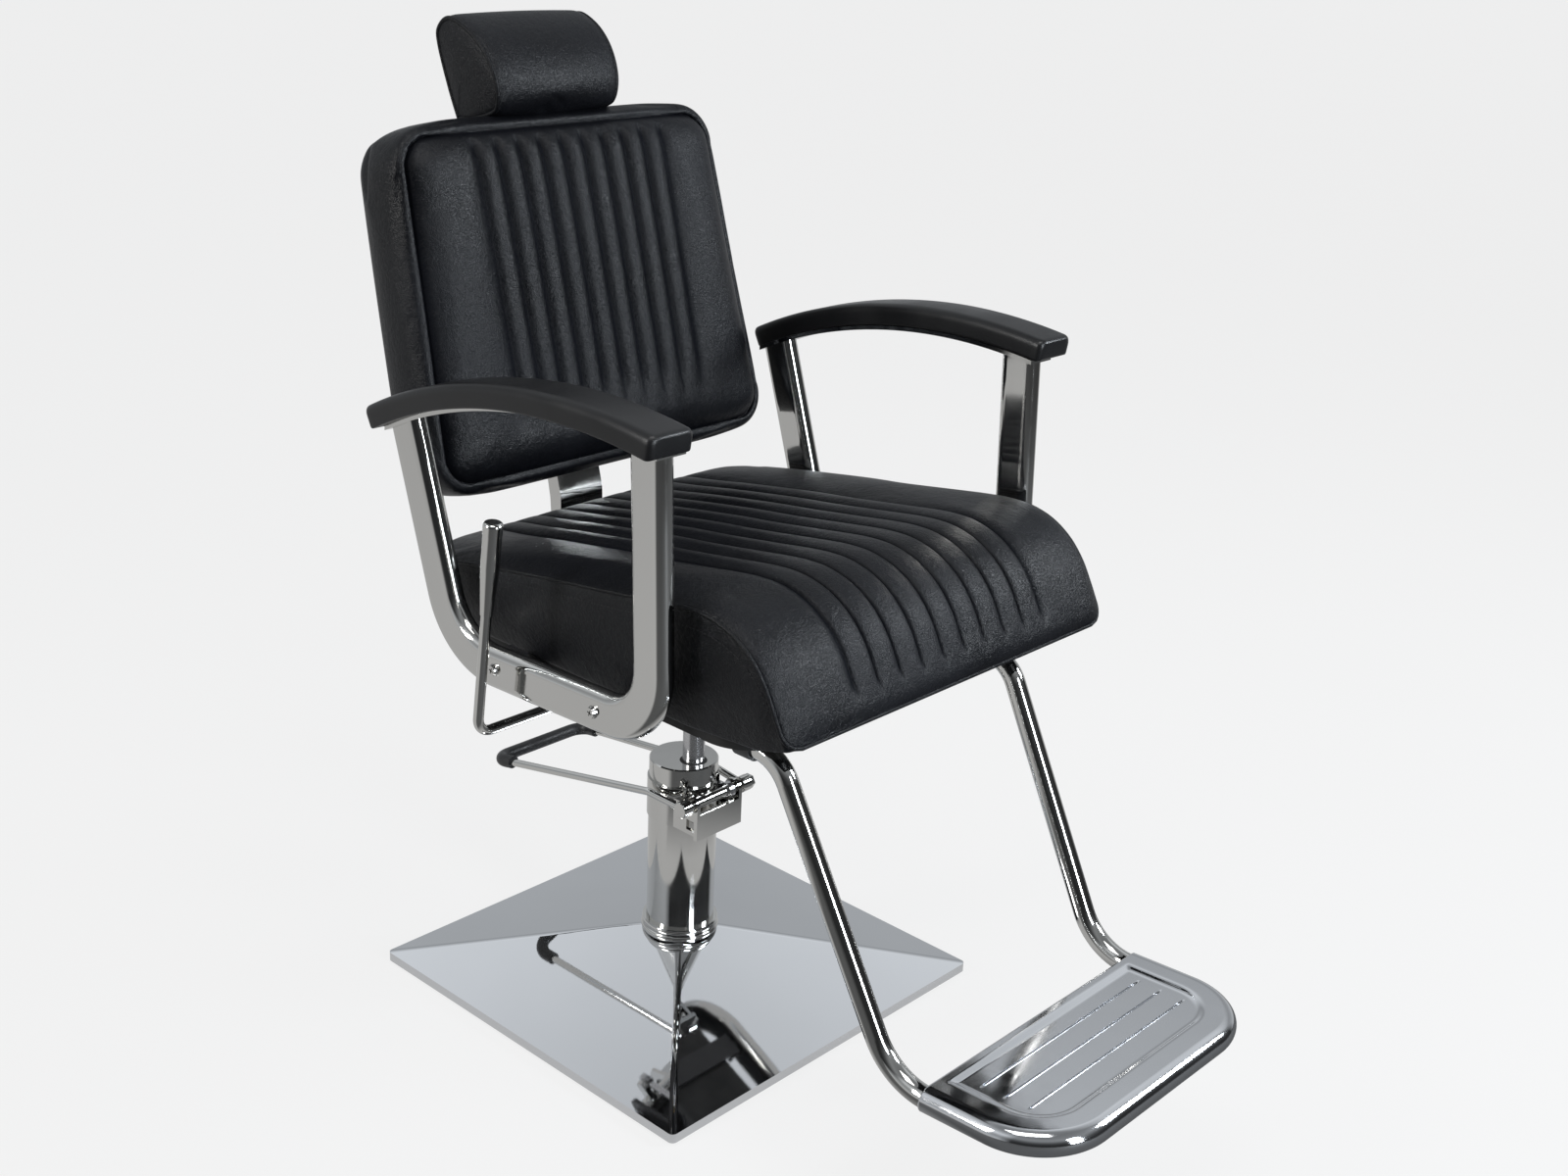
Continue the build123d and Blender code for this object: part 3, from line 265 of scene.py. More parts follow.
# grey of the room from the horizon (0) to straight up (1), on its dark and its lit side
dark_stops = ((0.0, 0.03), (0.18, 0.03), (0.40, 0.08), (0.70, 0.30), (1.0, 0.20))
lit_stops = ((0.0, 0.60), (0.20, 0.42), (0.40, 0.34), (0.66, 0.78), (0.92, 0.25))
skies = []
for stops in (dark_stops, lit_stops):
    ramp = air.nodes.new("ShaderNodeValToRGB")
    while len(ramp.color_ramp.elements) < len(stops):
        ramp.color_ramp.elements.new(0.5)
    for element, (place, grey) in zip(ramp.color_ramp.elements, stops):
        element.position = place
        element.color = (grey * 0.96, grey, grey * 1.04, 1)
    air.links.new(sky_split.outputs["Z"], ramp.inputs[0])
    skies.append(ramp.outputs["Color"])
sky_ray = air.nodes.new("ShaderNodeLightPath")
shade = skies[0]
layers = (
    (lit_side(air, sky_place.outputs["Generated"]), skies[1]),
    (sky_ray.outputs["Is Camera Ray"], None),
)
for weight, other in layers:
    blend = air.nodes.new("ShaderNodeMix")
    blend.data_type = "RGBA"
    blend.inputs[7].default_value = (0.88, 0.88, 0.88, 1)
    air.links.new(weight, blend.inputs[0])
    air.links.new(shade, blend.inputs[6])
    if other is not None:
        air.links.new(other, blend.inputs[7])
    shade = blend.outputs[2]
air.links.new(shade, air.nodes["Background"].inputs["Color"])

# ---------------------------------------------------------------- base
# Rubber discs carry a painted steel weight plate; a pressed cover, polished and
# chromed, drops over it. Chrome has a very faint ripple and the haze of handling.


def scaled(colour, factor):
    """A colour made darker or lighter by a factor."""
    return tuple(factor * channel for channel in colour)


def chrome_finish(name, colour, ripple=8.0, haze=0.05):
    """Bright plating: near-mirror metal, slow ripple in the surface and smudged gloss."""
    material, tree, shader = finish_named(name, colour, haze, metallic=1.0)
    smudge = noise(tree, 22, 5, 0.6)
    tree.links.new(spread(tree, smudge, haze * 0.6, haze * 2.2), shader.inputs["Roughness"])
    tint(tree, shader, noise(tree, 6, 2), scaled(colour, 0.93), colour)
    relief(tree, shader, (noise(tree, ripple, 2), 0.002, 0.10), (noise(tree, 700, 2), 0.0002, 0.02))
    return material


def dress(material, *names):
    """Puts a finish on CAD nodes through their own material slots."""
    for name in names:
        for holder in nodes[name].material_slots:
            holder.material = material


base_chrome = chrome_finish("base_chrome", (0.82, 0.83, 0.85), ripple=4, haze=0.016)
dress(base_chrome, "base_cover")
tube_chrome = chrome_finish("tube_chrome", (0.66, 0.655, 0.635), ripple=14, haze=0.05)
dress(tube_chrome, "column_tube", "column_ring", "column_cap", "pedal_bracket")

pad_rubber, tree, shader = finish_named("pad_rubber", (0.03, 0.03, 0.03), 0.75)
tint(tree, shader, noise(tree, 60, 4), (0.022, 0.022, 0.022), (0.045, 0.044, 0.042))
relief(tree, shader, (noise(tree, 900, 3), 0.0003, 0.3))
dress(pad_rubber, "floor_pads", "shaft_wiper", "piston_seal")


def coated_finish(name, colour, roughness):
    """Powder coat on steel: fine orange peel and slightly uneven gloss."""
    material, tree, shader = finish_named(name, colour, roughness)
    tint(tree, shader, noise(tree, 12, 3), scaled(colour, 0.8), scaled(colour, 1.25))
    gloss = spread(tree, noise(tree, 40, 3), roughness - 0.08, roughness + 0.1)
    tree.links.new(gloss, shader.inputs["Roughness"])
    relief(tree, shader, (noise(tree, 500, 3), 0.0004, 0.25))
    return material


frame_black = coated_finish("frame_black", (0.022, 0.022, 0.024), 0.42)
dress(frame_black, "base_weight_plate", "seat_frame", "seat_crossbars", "swivel_hub", "footrest_clamps",
      "strut_cylinder", "headrest_guide", "lever_cam")


def machined_finish(name, colour, roughness, grain=(1, 1, 40)):
    """Bare metal off the lathe or grinder: fine lines stretched one way, a little stain."""
    material, tree, shader = finish_named(name, colour, roughness, metallic=1.0)
    lines = noise(tree, 90, 4, 0.0, grain)
    tree.links.new(spread(tree, lines, roughness * 0.7, roughness * 1.4), shader.inputs["Roughness"])
    tint(tree, shader, noise(tree, 30, 3), scaled(colour, 0.82), colour)
    relief(tree, shader, (lines, 0.0002, 0.15))
    return material


turned_steel = machined_finish("turned_steel", (0.58, 0.58, 0.59), 0.22)
dress(turned_steel, "column_flange", "flange_bolts", "lift_cylinder", "pump_barrel", "piston_shaft",
      "pump_rocker", "pump_plunger", "recline_pin", "bracket_bolts", "crank_pin", "strut_piston_rod",
      "headrest_bar", "headrest_screws", "valve_pin", "clamp_bolts")
bearing_bronze = machined_finish("bearing_bronze", (0.60, 0.43, 0.22), 0.3)
dress(bearing_bronze, "shaft_gland", "swivel_bush", "thrust_washer")

# ---------------------------------------------------------------- pump pedal
# A bent chromed rod swings on the bracket's axle. Its end bar is in a black rubber
# sleeve, pushed on and worn a little shinier where shoes press it.
dress(tube_chrome, "pedal_axle", "pedal_hubs", "axle_nut", "pedal_loop")
sleeve_rubber, tree, shader = finish_named("sleeve_rubber", (0.012, 0.012, 0.013), 0.45)
tint(tree, shader, noise(tree, 35, 4), (0.008, 0.008, 0.009), (0.022, 0.022, 0.023))
tree.links.new(spread(tree, noise(tree, 30, 3), 0.32, 0.58), shader.inputs["Roughness"])
relief(tree, shader, (noise(tree, 1200, 3), 0.0002, 0.35))
dress(sleeve_rubber, "pedal_grip")

# ---------------------------------------------------------------- boards
# Birch plywood inside the back, sanded and left bare: long pale grain with darker
# streaks. The boards of the seat and the headrest can be seen, and are painted black.
plywood, tree, shader = finish_named("plywood", (0.52, 0.38, 0.23), 0.6)
streaks = noise(tree, 14, 6, 0.8, (1, 9, 9))
tint(tree, shader, spread(tree, streaks, 0, 1, 0.35, 0.65), (0.40, 0.27, 0.15), (0.58, 0.44, 0.28))
relief(tree, shader, (streaks, 0.0005, 0.2))
dress(plywood, "back_board")
board_black = coated_finish("board_black", (0.012, 0.012, 0.012), 0.6)
dress(board_black, "seat_board", "headrest_board")

# ---------------------------------------------------------------- leather
# Black synthetic leather over foam: pebble grain of about a millimetre, a satin coat,
# faint creases, and slow changes of gloss where people have sat.


def leather_finish(name, colour, gloss=0.36):
    """Grain cells over creases; the coat's gloss wanders, and painted shade takes the sheen out of sewn
    valleys and seam gutters.
    """
    material, tree, shader = finish_named(
        name, colour, gloss, specular_ior_level=0.18, coat_weight=0.01, coat_roughness=0.2,
    )
    place = tree.nodes.new("ShaderNodeTexCoord")
    cells = tree.nodes.new("ShaderNodeTexVoronoi")
    cells.feature = "DISTANCE_TO_EDGE"
    cells.inputs["Scale"].default_value = 520
    tree.links.new(place.outputs["Object"], cells.inputs["Vector"])
    creases = noise(tree, 34, 6, 1.6)
    wear = noise(tree, 7, 4, 0.4)
    tint(tree, shader, spread(tree, wear, 0, 1), scaled(colour, 0.75), scaled(colour, 1.35))
    tree.links.new(spread(tree, wear, gloss - 0.05, gloss + 0.09), shader.inputs["Roughness"])
    # painted shade: the sheen is taken down at the bottom of sewn valleys and in the seams' gutters
    fold_shade = tree.nodes.new("ShaderNodeAttribute")
    fold_shade.attribute_name = "fold_shade"
    sheen = spread(tree, fold_shade.outputs["Fac"], 0.19, 0.015, 0.1, 0.9)
    tree.links.new(sheen, shader.inputs["Specular IOR Level"])
    relief(
        tree, shader,
        (creases, 0.005, 0.20), (noise(tree, 170, 5, 0.8), 0.0016, 0.50),
        (cells.outputs["Distance"], 0.0009, 0.60),
    )
    return material


black_leather = leather_finish("black_leather", (0.0036, 0.0040, 0.0054))
welt_leather = leather_finish("welt_leather", (0.0030, 0.0033, 0.0044), 0.42)


def smooth_line(points, count):
    """Evenly spaced points on a curve through the given ones: each stretch is a cubic whose
    end slopes are half the step between the neighbours on both sides."""
    p = np.asarray(points, float)
    ends = np.vstack([2 * p[0] - p[1], p, 2 * p[-1] - p[-2]])
    a, b, c, d = ends[:-3, None], ends[1:-2, None], ends[2:-1, None], ends[3:, None]
    t = np.linspace(0, 1, 40, endpoint=False)[None, :, None]
    square, cube = 2 * a - 5 * b + 4 * c - d, 3 * b - a - 3 * c + d
    curve = 0.5 * (2 * b + (c - a) * t + square * t**2 + cube * t**3)
    fine = np.vstack([curve.reshape(-1, p.shape[1]), p[-1:]])
    way = way_along(fine)
    wanted = np.linspace(0, way[-1], count)
    return np.stack([np.interp(wanted, way, fine[:, k]) for k in range(p.shape[1])], -1)


def way_along(points):
    """Distance travelled along a row of points, zero at the first."""
    steps = np.linalg.norm(np.diff(points, axis=0), axis=1)
    return np.concatenate([[0.0], np.cumsum(steps)])


def rolled(distance, reach):
    """0 at an edge, 1 from `reach` inwards, round like a quarter of a circle between."""
    t = np.clip(distance / reach, 0, 1)
    return np.sqrt(1 - (1 - t) ** 2)


def eased(value, start, end):
    """0 before start, 1 after end, smooth between."""
    t = np.clip((value - start) / (end - start), 0, 1)
    return t * t * (3 - 2 * t)


def ribbed(x, first, pitch, power, depth):
    """How far the cover is pulled in across sewn ribs: `depth` at each seam from -first to
    first, nothing at mid-rib; outside the last seam it recovers within half a pitch."""
    across = np.abs(2 * (((x + first) / pitch) % 1) - 1)
    outside = np.clip((np.abs(x) - first) / (pitch / 2), 0, 1)
    pull = np.where(np.abs(x) <= first + 1e-9, across, 1 - outside)
    return depth * pull**power


def sewn(name, patches, finish):
    """One skin from grids that share their edges; the doubled edge points are merged and
    the faces turned outwards. Each patch is (points, held, shade): held is 1 where a seam or
    a board holds a cover, and shade is 1 where painted shade dulls a sewn valley or gutter."""
    points, faces, held, fold_shades, first = [], [], [], [], 0
    for grid, grip, fold_shade in patches:
        points.append(grid.reshape(-1, 3))
        held.append(np.broadcast_to(grip, grid.shape[:2]).reshape(-1))
        fold_shades.append(np.broadcast_to(fold_shade, grid.shape[:2]).reshape(-1))
        faces.append(grid_quads(*grid.shape[:2], first))
        first += grid.shape[0] * grid.shape[1]
    piece = piece_from(name, np.vstack(points), np.vstack(faces), finish)
    for label, values in (("held", held), ("fold_shade", fold_shades)):
        mark = piece.data.attributes.new(label, "FLOAT", "POINT")
        mark.data.foreach_set("value", np.concatenate(values).astype(np.float32))
    cloth = bmesh.new()
    cloth.from_mesh(piece.data)
    bmesh.ops.remove_doubles(cloth, verts=cloth.verts, dist=2e-5)
    bmesh.ops.dissolve_degenerate(cloth, edges=cloth.edges, dist=1e-6)
    bmesh.ops.recalc_face_normals(cloth, faces=cloth.faces)
    cloth.to_mesh(piece.data)
    cloth.free()
    piece.data.polygons.foreach_set("use_smooth", np.ones(len(piece.data.polygons), bool))
    return piece


def points_of(piece):
    """All points of a mesh piece as one array."""
    flat = np.empty(len(piece.data.vertices) * 3)
    piece.data.vertices.foreach_get("co", flat)
    return flat.reshape(-1, 3)


def plump(piece, cap, pressure=4.0):
    """Fills a sewn cover with foam: cloth held at its seams swells under pressure for
    20 frames, no point moving further than the cap."""
    held = np.empty(len(piece.data.vertices), np.float32)
    piece.data.attributes["held"].data.foreach_get("value", held)
    start = points_of(piece)
    group = piece.vertex_groups.new(name="seams")
    group.add(np.flatnonzero(held > 0.5).tolist(), 1.0, "REPLACE")
    cloth = piece.modifiers.new("foam", "CLOTH")
    cloth.settings.quality = 5
    cloth.settings.mass = 0.3
    cloth.settings.tension_stiffness = 25
    cloth.settings.compression_stiffness = 25
    cloth.settings.shear_stiffness = 12
    cloth.settings.bending_stiffness = 0.8
    cloth.settings.use_pressure = True
    cloth.settings.uniform_pressure_force = pressure
    cloth.settings.vertex_group_mass = "seams"
    cloth.settings.effector_weights.gravity = 0
    cloth.collision_settings.use_collision = False
    cloth.point_cache.frame_start = 1
    cloth.point_cache.frame_end = 20
    for step in range(1, 21):
        bpy.context.scene.frame_set(step)
    solved = piece.evaluated_get(bpy.context.evaluated_depsgraph_get())
    swollen = np.empty(len(start) * 3)
    solved.data.vertices.foreach_get("co", swollen)
    move = swollen.reshape(-1, 3) - start
    length = np.linalg.norm(move, axis=1, keepdims=True)
    move *= np.minimum(1, cap / np.maximum(length, 1e-9))
    piece.modifiers.clear()
    piece.data.vertices.foreach_set("co", (start + move).reshape(-1))
    piece.data.update()
    bpy.context.scene.frame_set(1)


def padded_piece(piece, body, slot, fill, *stands_for):
    """Says what a soft piece rides on and which CAD nodes it hides; the slot argument is not used."""
    smooth = piece.modifiers.new("smooth", "SUBSURF")
    smooth.levels = 1
    smooth.render_levels = 1
    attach(piece, body)
    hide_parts(*stands_for)


def cord_of(name, path, radius, centre, finish, closed=True, sides=10):
    """A round cord or wire carried along a path. The circle at each point lies across the
    path, with one arm pointing away from the centre; an open cord gets flat ends."""
    ahead = np.roll(path, -1, 0) - np.roll(path, 1, 0)
    if not closed:
        ahead[0], ahead[-1] = path[1] - path[0], path[-1] - path[-2]
    ahead /= np.linalg.norm(ahead, axis=1, keepdims=True)
    out = path - centre
    out -= ahead * np.sum(out * ahead, 1, keepdims=True)
    out /= np.linalg.norm(out, axis=1, keepdims=True)
    side = np.cross(ahead, out)
    turn = np.linspace(0, 2 * np.pi, sides, endpoint=False)
    ring = np.cos(turn)[None, :, None] * out[:, None] + np.sin(turn)[None, :, None] * side[:, None]
    points = path[:, None] + radius * ring
    faces = grid_quads(len(path), sides, 0, closed, True)[:, ::-1].tolist()
    if not closed:
        last = (len(path) - 1) * sides
        faces += [list(range(sides)), list(range(last, last + sides))[::-1]]
    return piece_from(name, points, faces, finish)


# ---------------------------------------------------------------- seat cushion
# The seat is foam on the board, covered in one ribbed panel that falls over the front
# edge, with a boxing strip round the sides and rear and a welt in the seam between. The
# seam's points are (front to rear, height); nine ribs lie between ten sewn valleys.
seat_half, seat_rear = 0.273, 0.185
seat_corner, front_corner = 0.075, 0.022
ribs, rib_first = 9, 0.161
rib_pitch = 2 * rib_first / ribs
seam_points = (
    (0.185, 0.597), (0.110, 0.607), (0.040, 0.619), (-0.062, 0.635), (-0.131, 0.644),
    (-0.196, 0.6535), (-0.250, 0.6615), (-0.281, 0.6645), (-0.308, 0.6635), (-0.337, 0.6555),
    (-0.363, 0.6395), (-0.383, 0.6175), (-0.3975, 0.593), (-0.4095, 0.570), (-0.420, 0.5515),
)
seam_fine = smooth_line(seam_points, 700)
bend = np.radians(np.linspace(90, 0, 20))
corner_y = seat_rear - seat_corner + seat_corner * np.sin(bend)
corner_z = np.interp(corner_y, seam_fine[::-1, 0], seam_fine[::-1, 1])
run = smooth_line(seam_fine[seam_fine[:, 0] < seat_rear - seat_corner][::8], 138)
run = np.vstack([run, seam_fine[-1:]])
seam = np.vstack([np.column_stack([corner_y, corner_z]), run])
seam_way = way_along(seam)
to_front = seam_way[-1] - seam_way
half = np.concatenate([
    seat_half - seat_corner + seat_corner * np.cos(bend), np.full(len(run), seat_half),
])
half -= front_corner * (1 - rolled(to_front, front_corner))
# columns stand close together beside each valley, and close to the side seams
gathered = np.array([0, 0.028, 0.075, 0.16, 0.31, 0.5, 0.69, 0.84, 0.925, 0.972])
per_rib, seat_sides = len(gathered), 18
inner = np.append((np.arange(ribs)[:, None] + gathered).reshape(-1), ribs) * rib_pitch - rib_first
reach = 1 - (1 - np.linspace(0, 1, seat_sides + 1)[1:]) ** 1.5
outer = rib_first + (half[:, None] - rib_first) * reach
seat_x = np.hstack([-outer[:, ::-1], np.broadcast_to(inner, (len(half), len(inner))), outer])
lean_y, lean_z = np.gradient(seam[:, 0]), np.gradient(seam[:, 1])
normal = np.column_stack([lean_z, -lean_y]) / np.hypot(lean_y, lean_z)[:, None]
middle_row = 40
normal *= np.sign(normal[middle_row, 1])
edge = half[:, None] - np.abs(seat_x)
crown = 0.0085 * rolled(edge, 0.034)
crown *= rolled(seam_way, 0.03)[:, None]
crown *= rolled(to_front, 0.03)[:, None]
arch = 0.0035 * (1 - (seat_x / half[:, None]) ** 2)
arch *= rolled(to_front, 0.12)[:, None]
arch *= rolled(seam_way, 0.1)[:, None]
crown += arch
rib_run = eased(seam_way, 0.004, 0.02) * eased(to_front, 0.020, 0.040)
crown -= ribbed(seat_x, rib_first, rib_pitch, 2, 0.0018) * rib_run[:, None]
# the seam valleys' profile; it also marks painted shade that takes the leather's sheen out at each seam
seat_fold_and_shade = ribbed(seat_x, rib_first, rib_pitch, 12, 1) * rib_run[:, None]
crown -= 0.0034 * seat_fold_and_shade
seat_top = np.stack([
    seat_x, seam[:, 0:1] + normal[:, 0:1] * crown, seam[:, 1:2] + normal[:, 1:2] * crown,
], -1)
loose = np.zeros(seat_sides)
column_held = np.concatenate([loose, np.arange(len(inner)) % per_rib == 0, loose])
top_held = np.maximum(column_held[None] * (rib_run[:, None] > 0.5), 0)
top_held[0], top_held[-1], top_held[:, 0], top_held[:, -1] = 1, 1, 1, 1

foot_z = np.interp(-seam[:, 0], (0, 0.276, 0.375, 0.420), (0.530, 0.530, 0.538, 0.5515))
shrink = 1 - 0.005 / half * np.clip((seam[:, 1] - foot_z) / 0.02, 0, 1)
seat_loop = np.vstack([seat_top[::-1, 0], seat_top[0, 1:-1], seat_top[:, -1]])
foot_rows = np.stack([
    seat_x * shrink[:, None], np.broadcast_to(seam[:, :1], seat_x.shape),
    np.broadcast_to(foot_z[:, None], seat_x.shape),
], -1)
foot_loop = np.vstack([foot_rows[::-1, 0], foot_rows[0, 1:-1], foot_rows[:, -1]])
plan = np.roll(seat_loop, -1, 0) - np.roll(seat_loop, 1, 0)
plan[0], plan[-1] = (0, 1, 0), (0, -1, 0)
outward = np.column_stack([-plan[:, 1], plan[:, 0], np.zeros(len(plan))])
outward /= np.maximum(np.linalg.norm(outward, axis=1, keepdims=True), 1e-9)
drop = np.linspace(0, 1, 15)[:, None, None]
tall = np.clip((seat_loop[:, 2] - foot_loop[:, 2]) / 0.08, 0, 1)[None, :, None]
belly = outward * 0.0045 * np.sin(np.pi * drop) ** 0.8 * tall
seat_wall = seat_loop + (foot_loop - seat_loop) * drop + belly
wall_held = np.zeros(seat_wall.shape[:2])
wall_held[0], wall_held[-1] = 1, 1

seat_patches = [(seat_top, top_held, seat_fold_and_shade), (seat_wall, wall_held, 0), (foot_rows, 1, 0)]
seat_cushion = sewn("seat_upholstery", seat_patches, black_leather)
plump(seat_cushion, 0.006)
padded_piece(seat_cushion, "seat", "black_leather", 0.8, "seat_cushion")

welt_path = np.vstack([seat_loop, seat_top[-1, -2:0:-1]])
seat_welt = cord_of("seat_welt", welt_path, 0.0024, (0, -0.12, 0.58), welt_leather)
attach(seat_welt, "seat")


def stitches(name, lines, finish, length=0.0036, gap=0.0018, radius=0.00045):
    """Thread: one small spindle per stitch along each line of (points, normals). A spindle
    is three rings of five points, thick in the middle, and two tips: 17 points in all."""
    spots, aims, ups = [], [], []
    for points, normals in lines:
        way = way_along(points)
        starts = np.arange(0, way[-1], length + gap)
        ahead = np.gradient(points, axis=0)
        for kept, values in ((spots, points), (aims, ahead), (ups, normals)):
            kept.append(np.stack([np.interp(starts, way, values[:, k]) for k in range(3)], -1))
    spot, aim, up = np.vstack(spots), np.vstack(aims), np.vstack(ups)
    aim /= np.linalg.norm(aim, axis=1, keepdims=True)
    up -= aim * np.sum(up * aim, 1, keepdims=True)
    up /= np.linalg.norm(up, axis=1, keepdims=True)
    side = np.cross(aim, up)
    turn = np.linspace(0, 2 * np.pi, 5, endpoint=False)
    along = np.array([-0.36, 0, 0.36]) * length
    thick = np.array([0.7, 1, 0.7]) * radius
    local = [(-length / 2, 0, 0)]
    local += [(a, t * math.cos(k), t * math.sin(k)) for a, t in zip(along, thick) for k in turn]
    local += [(length / 2, 0, 0)]
    local = np.array(local)
    points = (
        spot[:, None] + aim[:, None] * local[None, :, 0:1] + side[:, None] * local[None, :, 1:2]
        + up[:, None] * (local[None, :, 2:3] + radius * 0.3)
    )
    rings = grid_quads(3, 5, 1, False, True)[:, ::-1]
    tips = [(0, 1 + (k + 1) % 5, 1 + k) for k in range(5)]
    tips += [(16, 11 + k, 11 + (k + 1) % 5) for k in range(5)]
    shift = (np.arange(len(spot)) * 17)[:, None, None]
    quads = (rings[None] + shift).reshape(-1, 4).tolist()
    ends = (np.array(tips)[None] + shift).reshape(-1, 3).tolist()
    return piece_from(name, points, quads + ends, finish)


thread_black, tree, shader = finish_named("thread_black", (0.006, 0.006, 0.007), 0.6)
tint(tree, shader, noise(tree, 500, 2), (0.004, 0.004, 0.005), (0.012, 0.012, 0.014))
relief(tree, shader, (noise(tree, 2500, 2, 0, (1, 0.3, 1)), 0.0002, 0.4))
sewn_rows = (seam_way > 0.012) & (to_front > 0.034)
seat_up = np.column_stack([np.zeros(len(normal)), normal])
seat_lines = [
    (seat_top[sewn_rows, seat_sides + per_rib * k], seat_up[sewn_rows]) for k in range(ribs + 1)
]
# one more row runs along the boxing, just below the welt
below_welt, wall_run = 2, slice(8, -8)
seat_lines.append((seat_wall[below_welt, wall_run], outward[wall_run]))
seat_stitching = stitches("seat_stitching", seat_lines, thread_black)
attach(seat_stitching, "seat")

# ---------------------------------------------------------------- backrest
# Foam on a board under a leather cover: a full front panel with nine soft ribs, sunk
# behind the lip of a deep side panel that rolls round to the rear. It leans back.
lean = math.radians(15.2)
back_foot = np.array([0, 0.132, 0.673])
up_back = np.array([0, math.sin(lean), math.cos(lean)])
behind = np.array([0, math.cos(lean), -math.sin(lean)])


def on_back(x, up, depth):
    """Points on the leaning back: x across, up along it, depth behind the front seam."""
    x, up, depth = np.broadcast_arrays(x, up, depth)
    sideways = x[..., None] * np.array([1.0, 0, 0])
    return back_foot + sideways + up[..., None] * up_back + depth[..., None] * behind


back_tall = 0.420
back_wide = (0.268, 0.246)
border, back_corner, seam_sunk = 0.011, 0.037, 0.0055
bend = np.linspace(0, np.pi / 2, 14)
low_up = border + back_corner * (1 - np.cos(bend))
mid_up = np.linspace(low_up[-1], back_tall - low_up[-1], 72)[1:-1]
back_up = np.concatenate([low_up, mid_up, back_tall - low_up[::-1]])
straight = np.interp(back_up, (0, back_tall), back_wide) - border
into_corner = np.concatenate([1 - np.sin(bend), np.zeros(len(mid_up)), (1 - np.sin(bend))[::-1]])
back_half = straight - back_corner * into_corner
rib_half, per_rib, back_sides = 0.147, 8, 16
ribs_x = np.linspace(-rib_half, rib_half, ribs * per_rib + 1)
reach = 1 - (1 - np.linspace(0, 1, back_sides + 1)[1:]) ** 1.5
outer = rib_half + (back_half[:, None] - rib_half) * reach
back_x = np.hstack([-outer[:, ::-1], np.broadcast_to(ribs_x, (len(back_up), len(ribs_x))), outer])
side_gap = (back_half[:, None] - np.abs(back_x)) * np.cos(into_corner)[:, None]
end_gap = np.minimum(back_up, back_tall - back_up)[:, None] - border
full = 0.0245 * rolled(side_gap, 0.046) * rolled(end_gap, 0.042) - seam_sunk
full += 0.005 * (1 - (back_x / 0.27) ** 2) * rolled(end_gap, 0.16)
rib_run = eased(back_up, 0.040, 0.110) * eased(back_tall - back_up, 0.012, 0.034)
rib_pull = ribbed(back_x, rib_half, 2 * rib_half / ribs, 1.9, 1) * rib_run[:, None]
full -= 0.0082 * rib_pull
# painted shade: the leather's sheen is taken out in the rib valleys and in the gutter along the seam
back_fold_shade = np.maximum(rib_pull**1.3, 1 - eased(np.minimum(side_gap, end_gap), 0.001, 0.010))
back_front = on_back(back_x, back_up[:, None], -full)
loose = np.zeros(back_sides)
groove_column = np.concatenate([loose, np.arange(len(ribs_x)) % per_rib == 0, loose])
front_held = groove_column[None] * (rib_run[:, None] > 0.5)
front_held[0], front_held[-1], front_held[:, 0], front_held[:, -1] = 1, 1, 1, 1

# the outline runs up the right edge, across the top and down the left, then along the foot
edge_x = np.concatenate([back_x[:, 0], back_x[-1, 1:-1], back_x[::-1, -1], back_x[0, -2:0:-1]])
between = back_x.shape[1] - 2
edge_up = np.concatenate([
    back_up, np.full(between, back_up[-1]), back_up[::-1], np.full(between, border),
])
step_x = np.roll(edge_x, -1) - np.roll(edge_x, 1)
step_up = np.roll(edge_up, -1) - np.roll(edge_up, 1)
out_x, out_up = -step_up, step_x
length = np.hypot(out_x, out_up)
out_x, out_up = out_x / length, out_up / length
# section of the side panel: over the lip at the seam, down the side, round to the board
side_depth, rear_roll, board_depth = 0.059, 0.036, 0.079
turn = np.linspace(0, np.pi / 2, 12)[1:]
lip = smooth_line([
    (0, seam_sunk), (-0.0012, 0.0008), (-0.0044, -0.0034), (-0.0086, -0.0042), (-0.0122, -0.0010),
    (-0.0138, 0.007), (-0.0144, 0.020), (-0.0143, 0.038), (-0.0132, 0.052), (-border, side_depth),
], 26)
wall_depth = np.concatenate([
    lip[:, 1], side_depth + rear_roll * np.sin(turn), [0.0952, 0.080, board_depth],
])
wall_in = np.concatenate([
    lip[:, 0], rear_roll * (1 - np.cos(turn)) - border, [0.041, 0.045, 0.069],
])
side_x = edge_x[None] - out_x[None] * wall_in[:, None]
side_up = edge_up[None] - out_up[None] * wall_in[:, None]
back_side = on_back(side_x, side_up, wall_depth[:, None])
# the last row of the side shrinks to a line across the board's middle
middle_up = back_tall / 2
closing_x = side_x[-1:] * np.array([[1.0], [0.0]])
closing_up = np.vstack([side_up[-1], np.full(len(edge_up), middle_up)])
closing = on_back(closing_x, closing_up, board_depth)
back_side = np.concatenate([back_side, back_side[:, :1]], 1)
closing = np.concatenate([closing, closing[:, :1]], 1)
side_held = np.zeros(back_side.shape[:2])
side_held[0], side_held[-4:] = 1, 1
# painted shade in the gutter under the lip, beside the seam
wall_fold_shade = (1 - eased(way_along(lip), 0.001, 0.009))[:, None]
wall_fold_shade = np.vstack([wall_fold_shade, np.zeros((len(wall_depth) - len(lip), 1))])
back_patches = [
    (back_front, front_held, back_fold_shade), (back_side, side_held, wall_fold_shade), (closing, 1, 0),
]
back_cushion = sewn("back_upholstery", back_patches, black_leather)
plump(back_cushion, 0.006)
padded_piece(back_cushion, "back", "black_leather", 0.75, "back_cushion")

back_centre = on_back(0.0, middle_up, 0.0)
welt_line = on_back(edge_x, edge_up, seam_sunk - 0.0012)
back_welt = cord_of("back_welt", welt_line, 0.0016, back_centre, welt_leather)
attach(back_welt, "back")

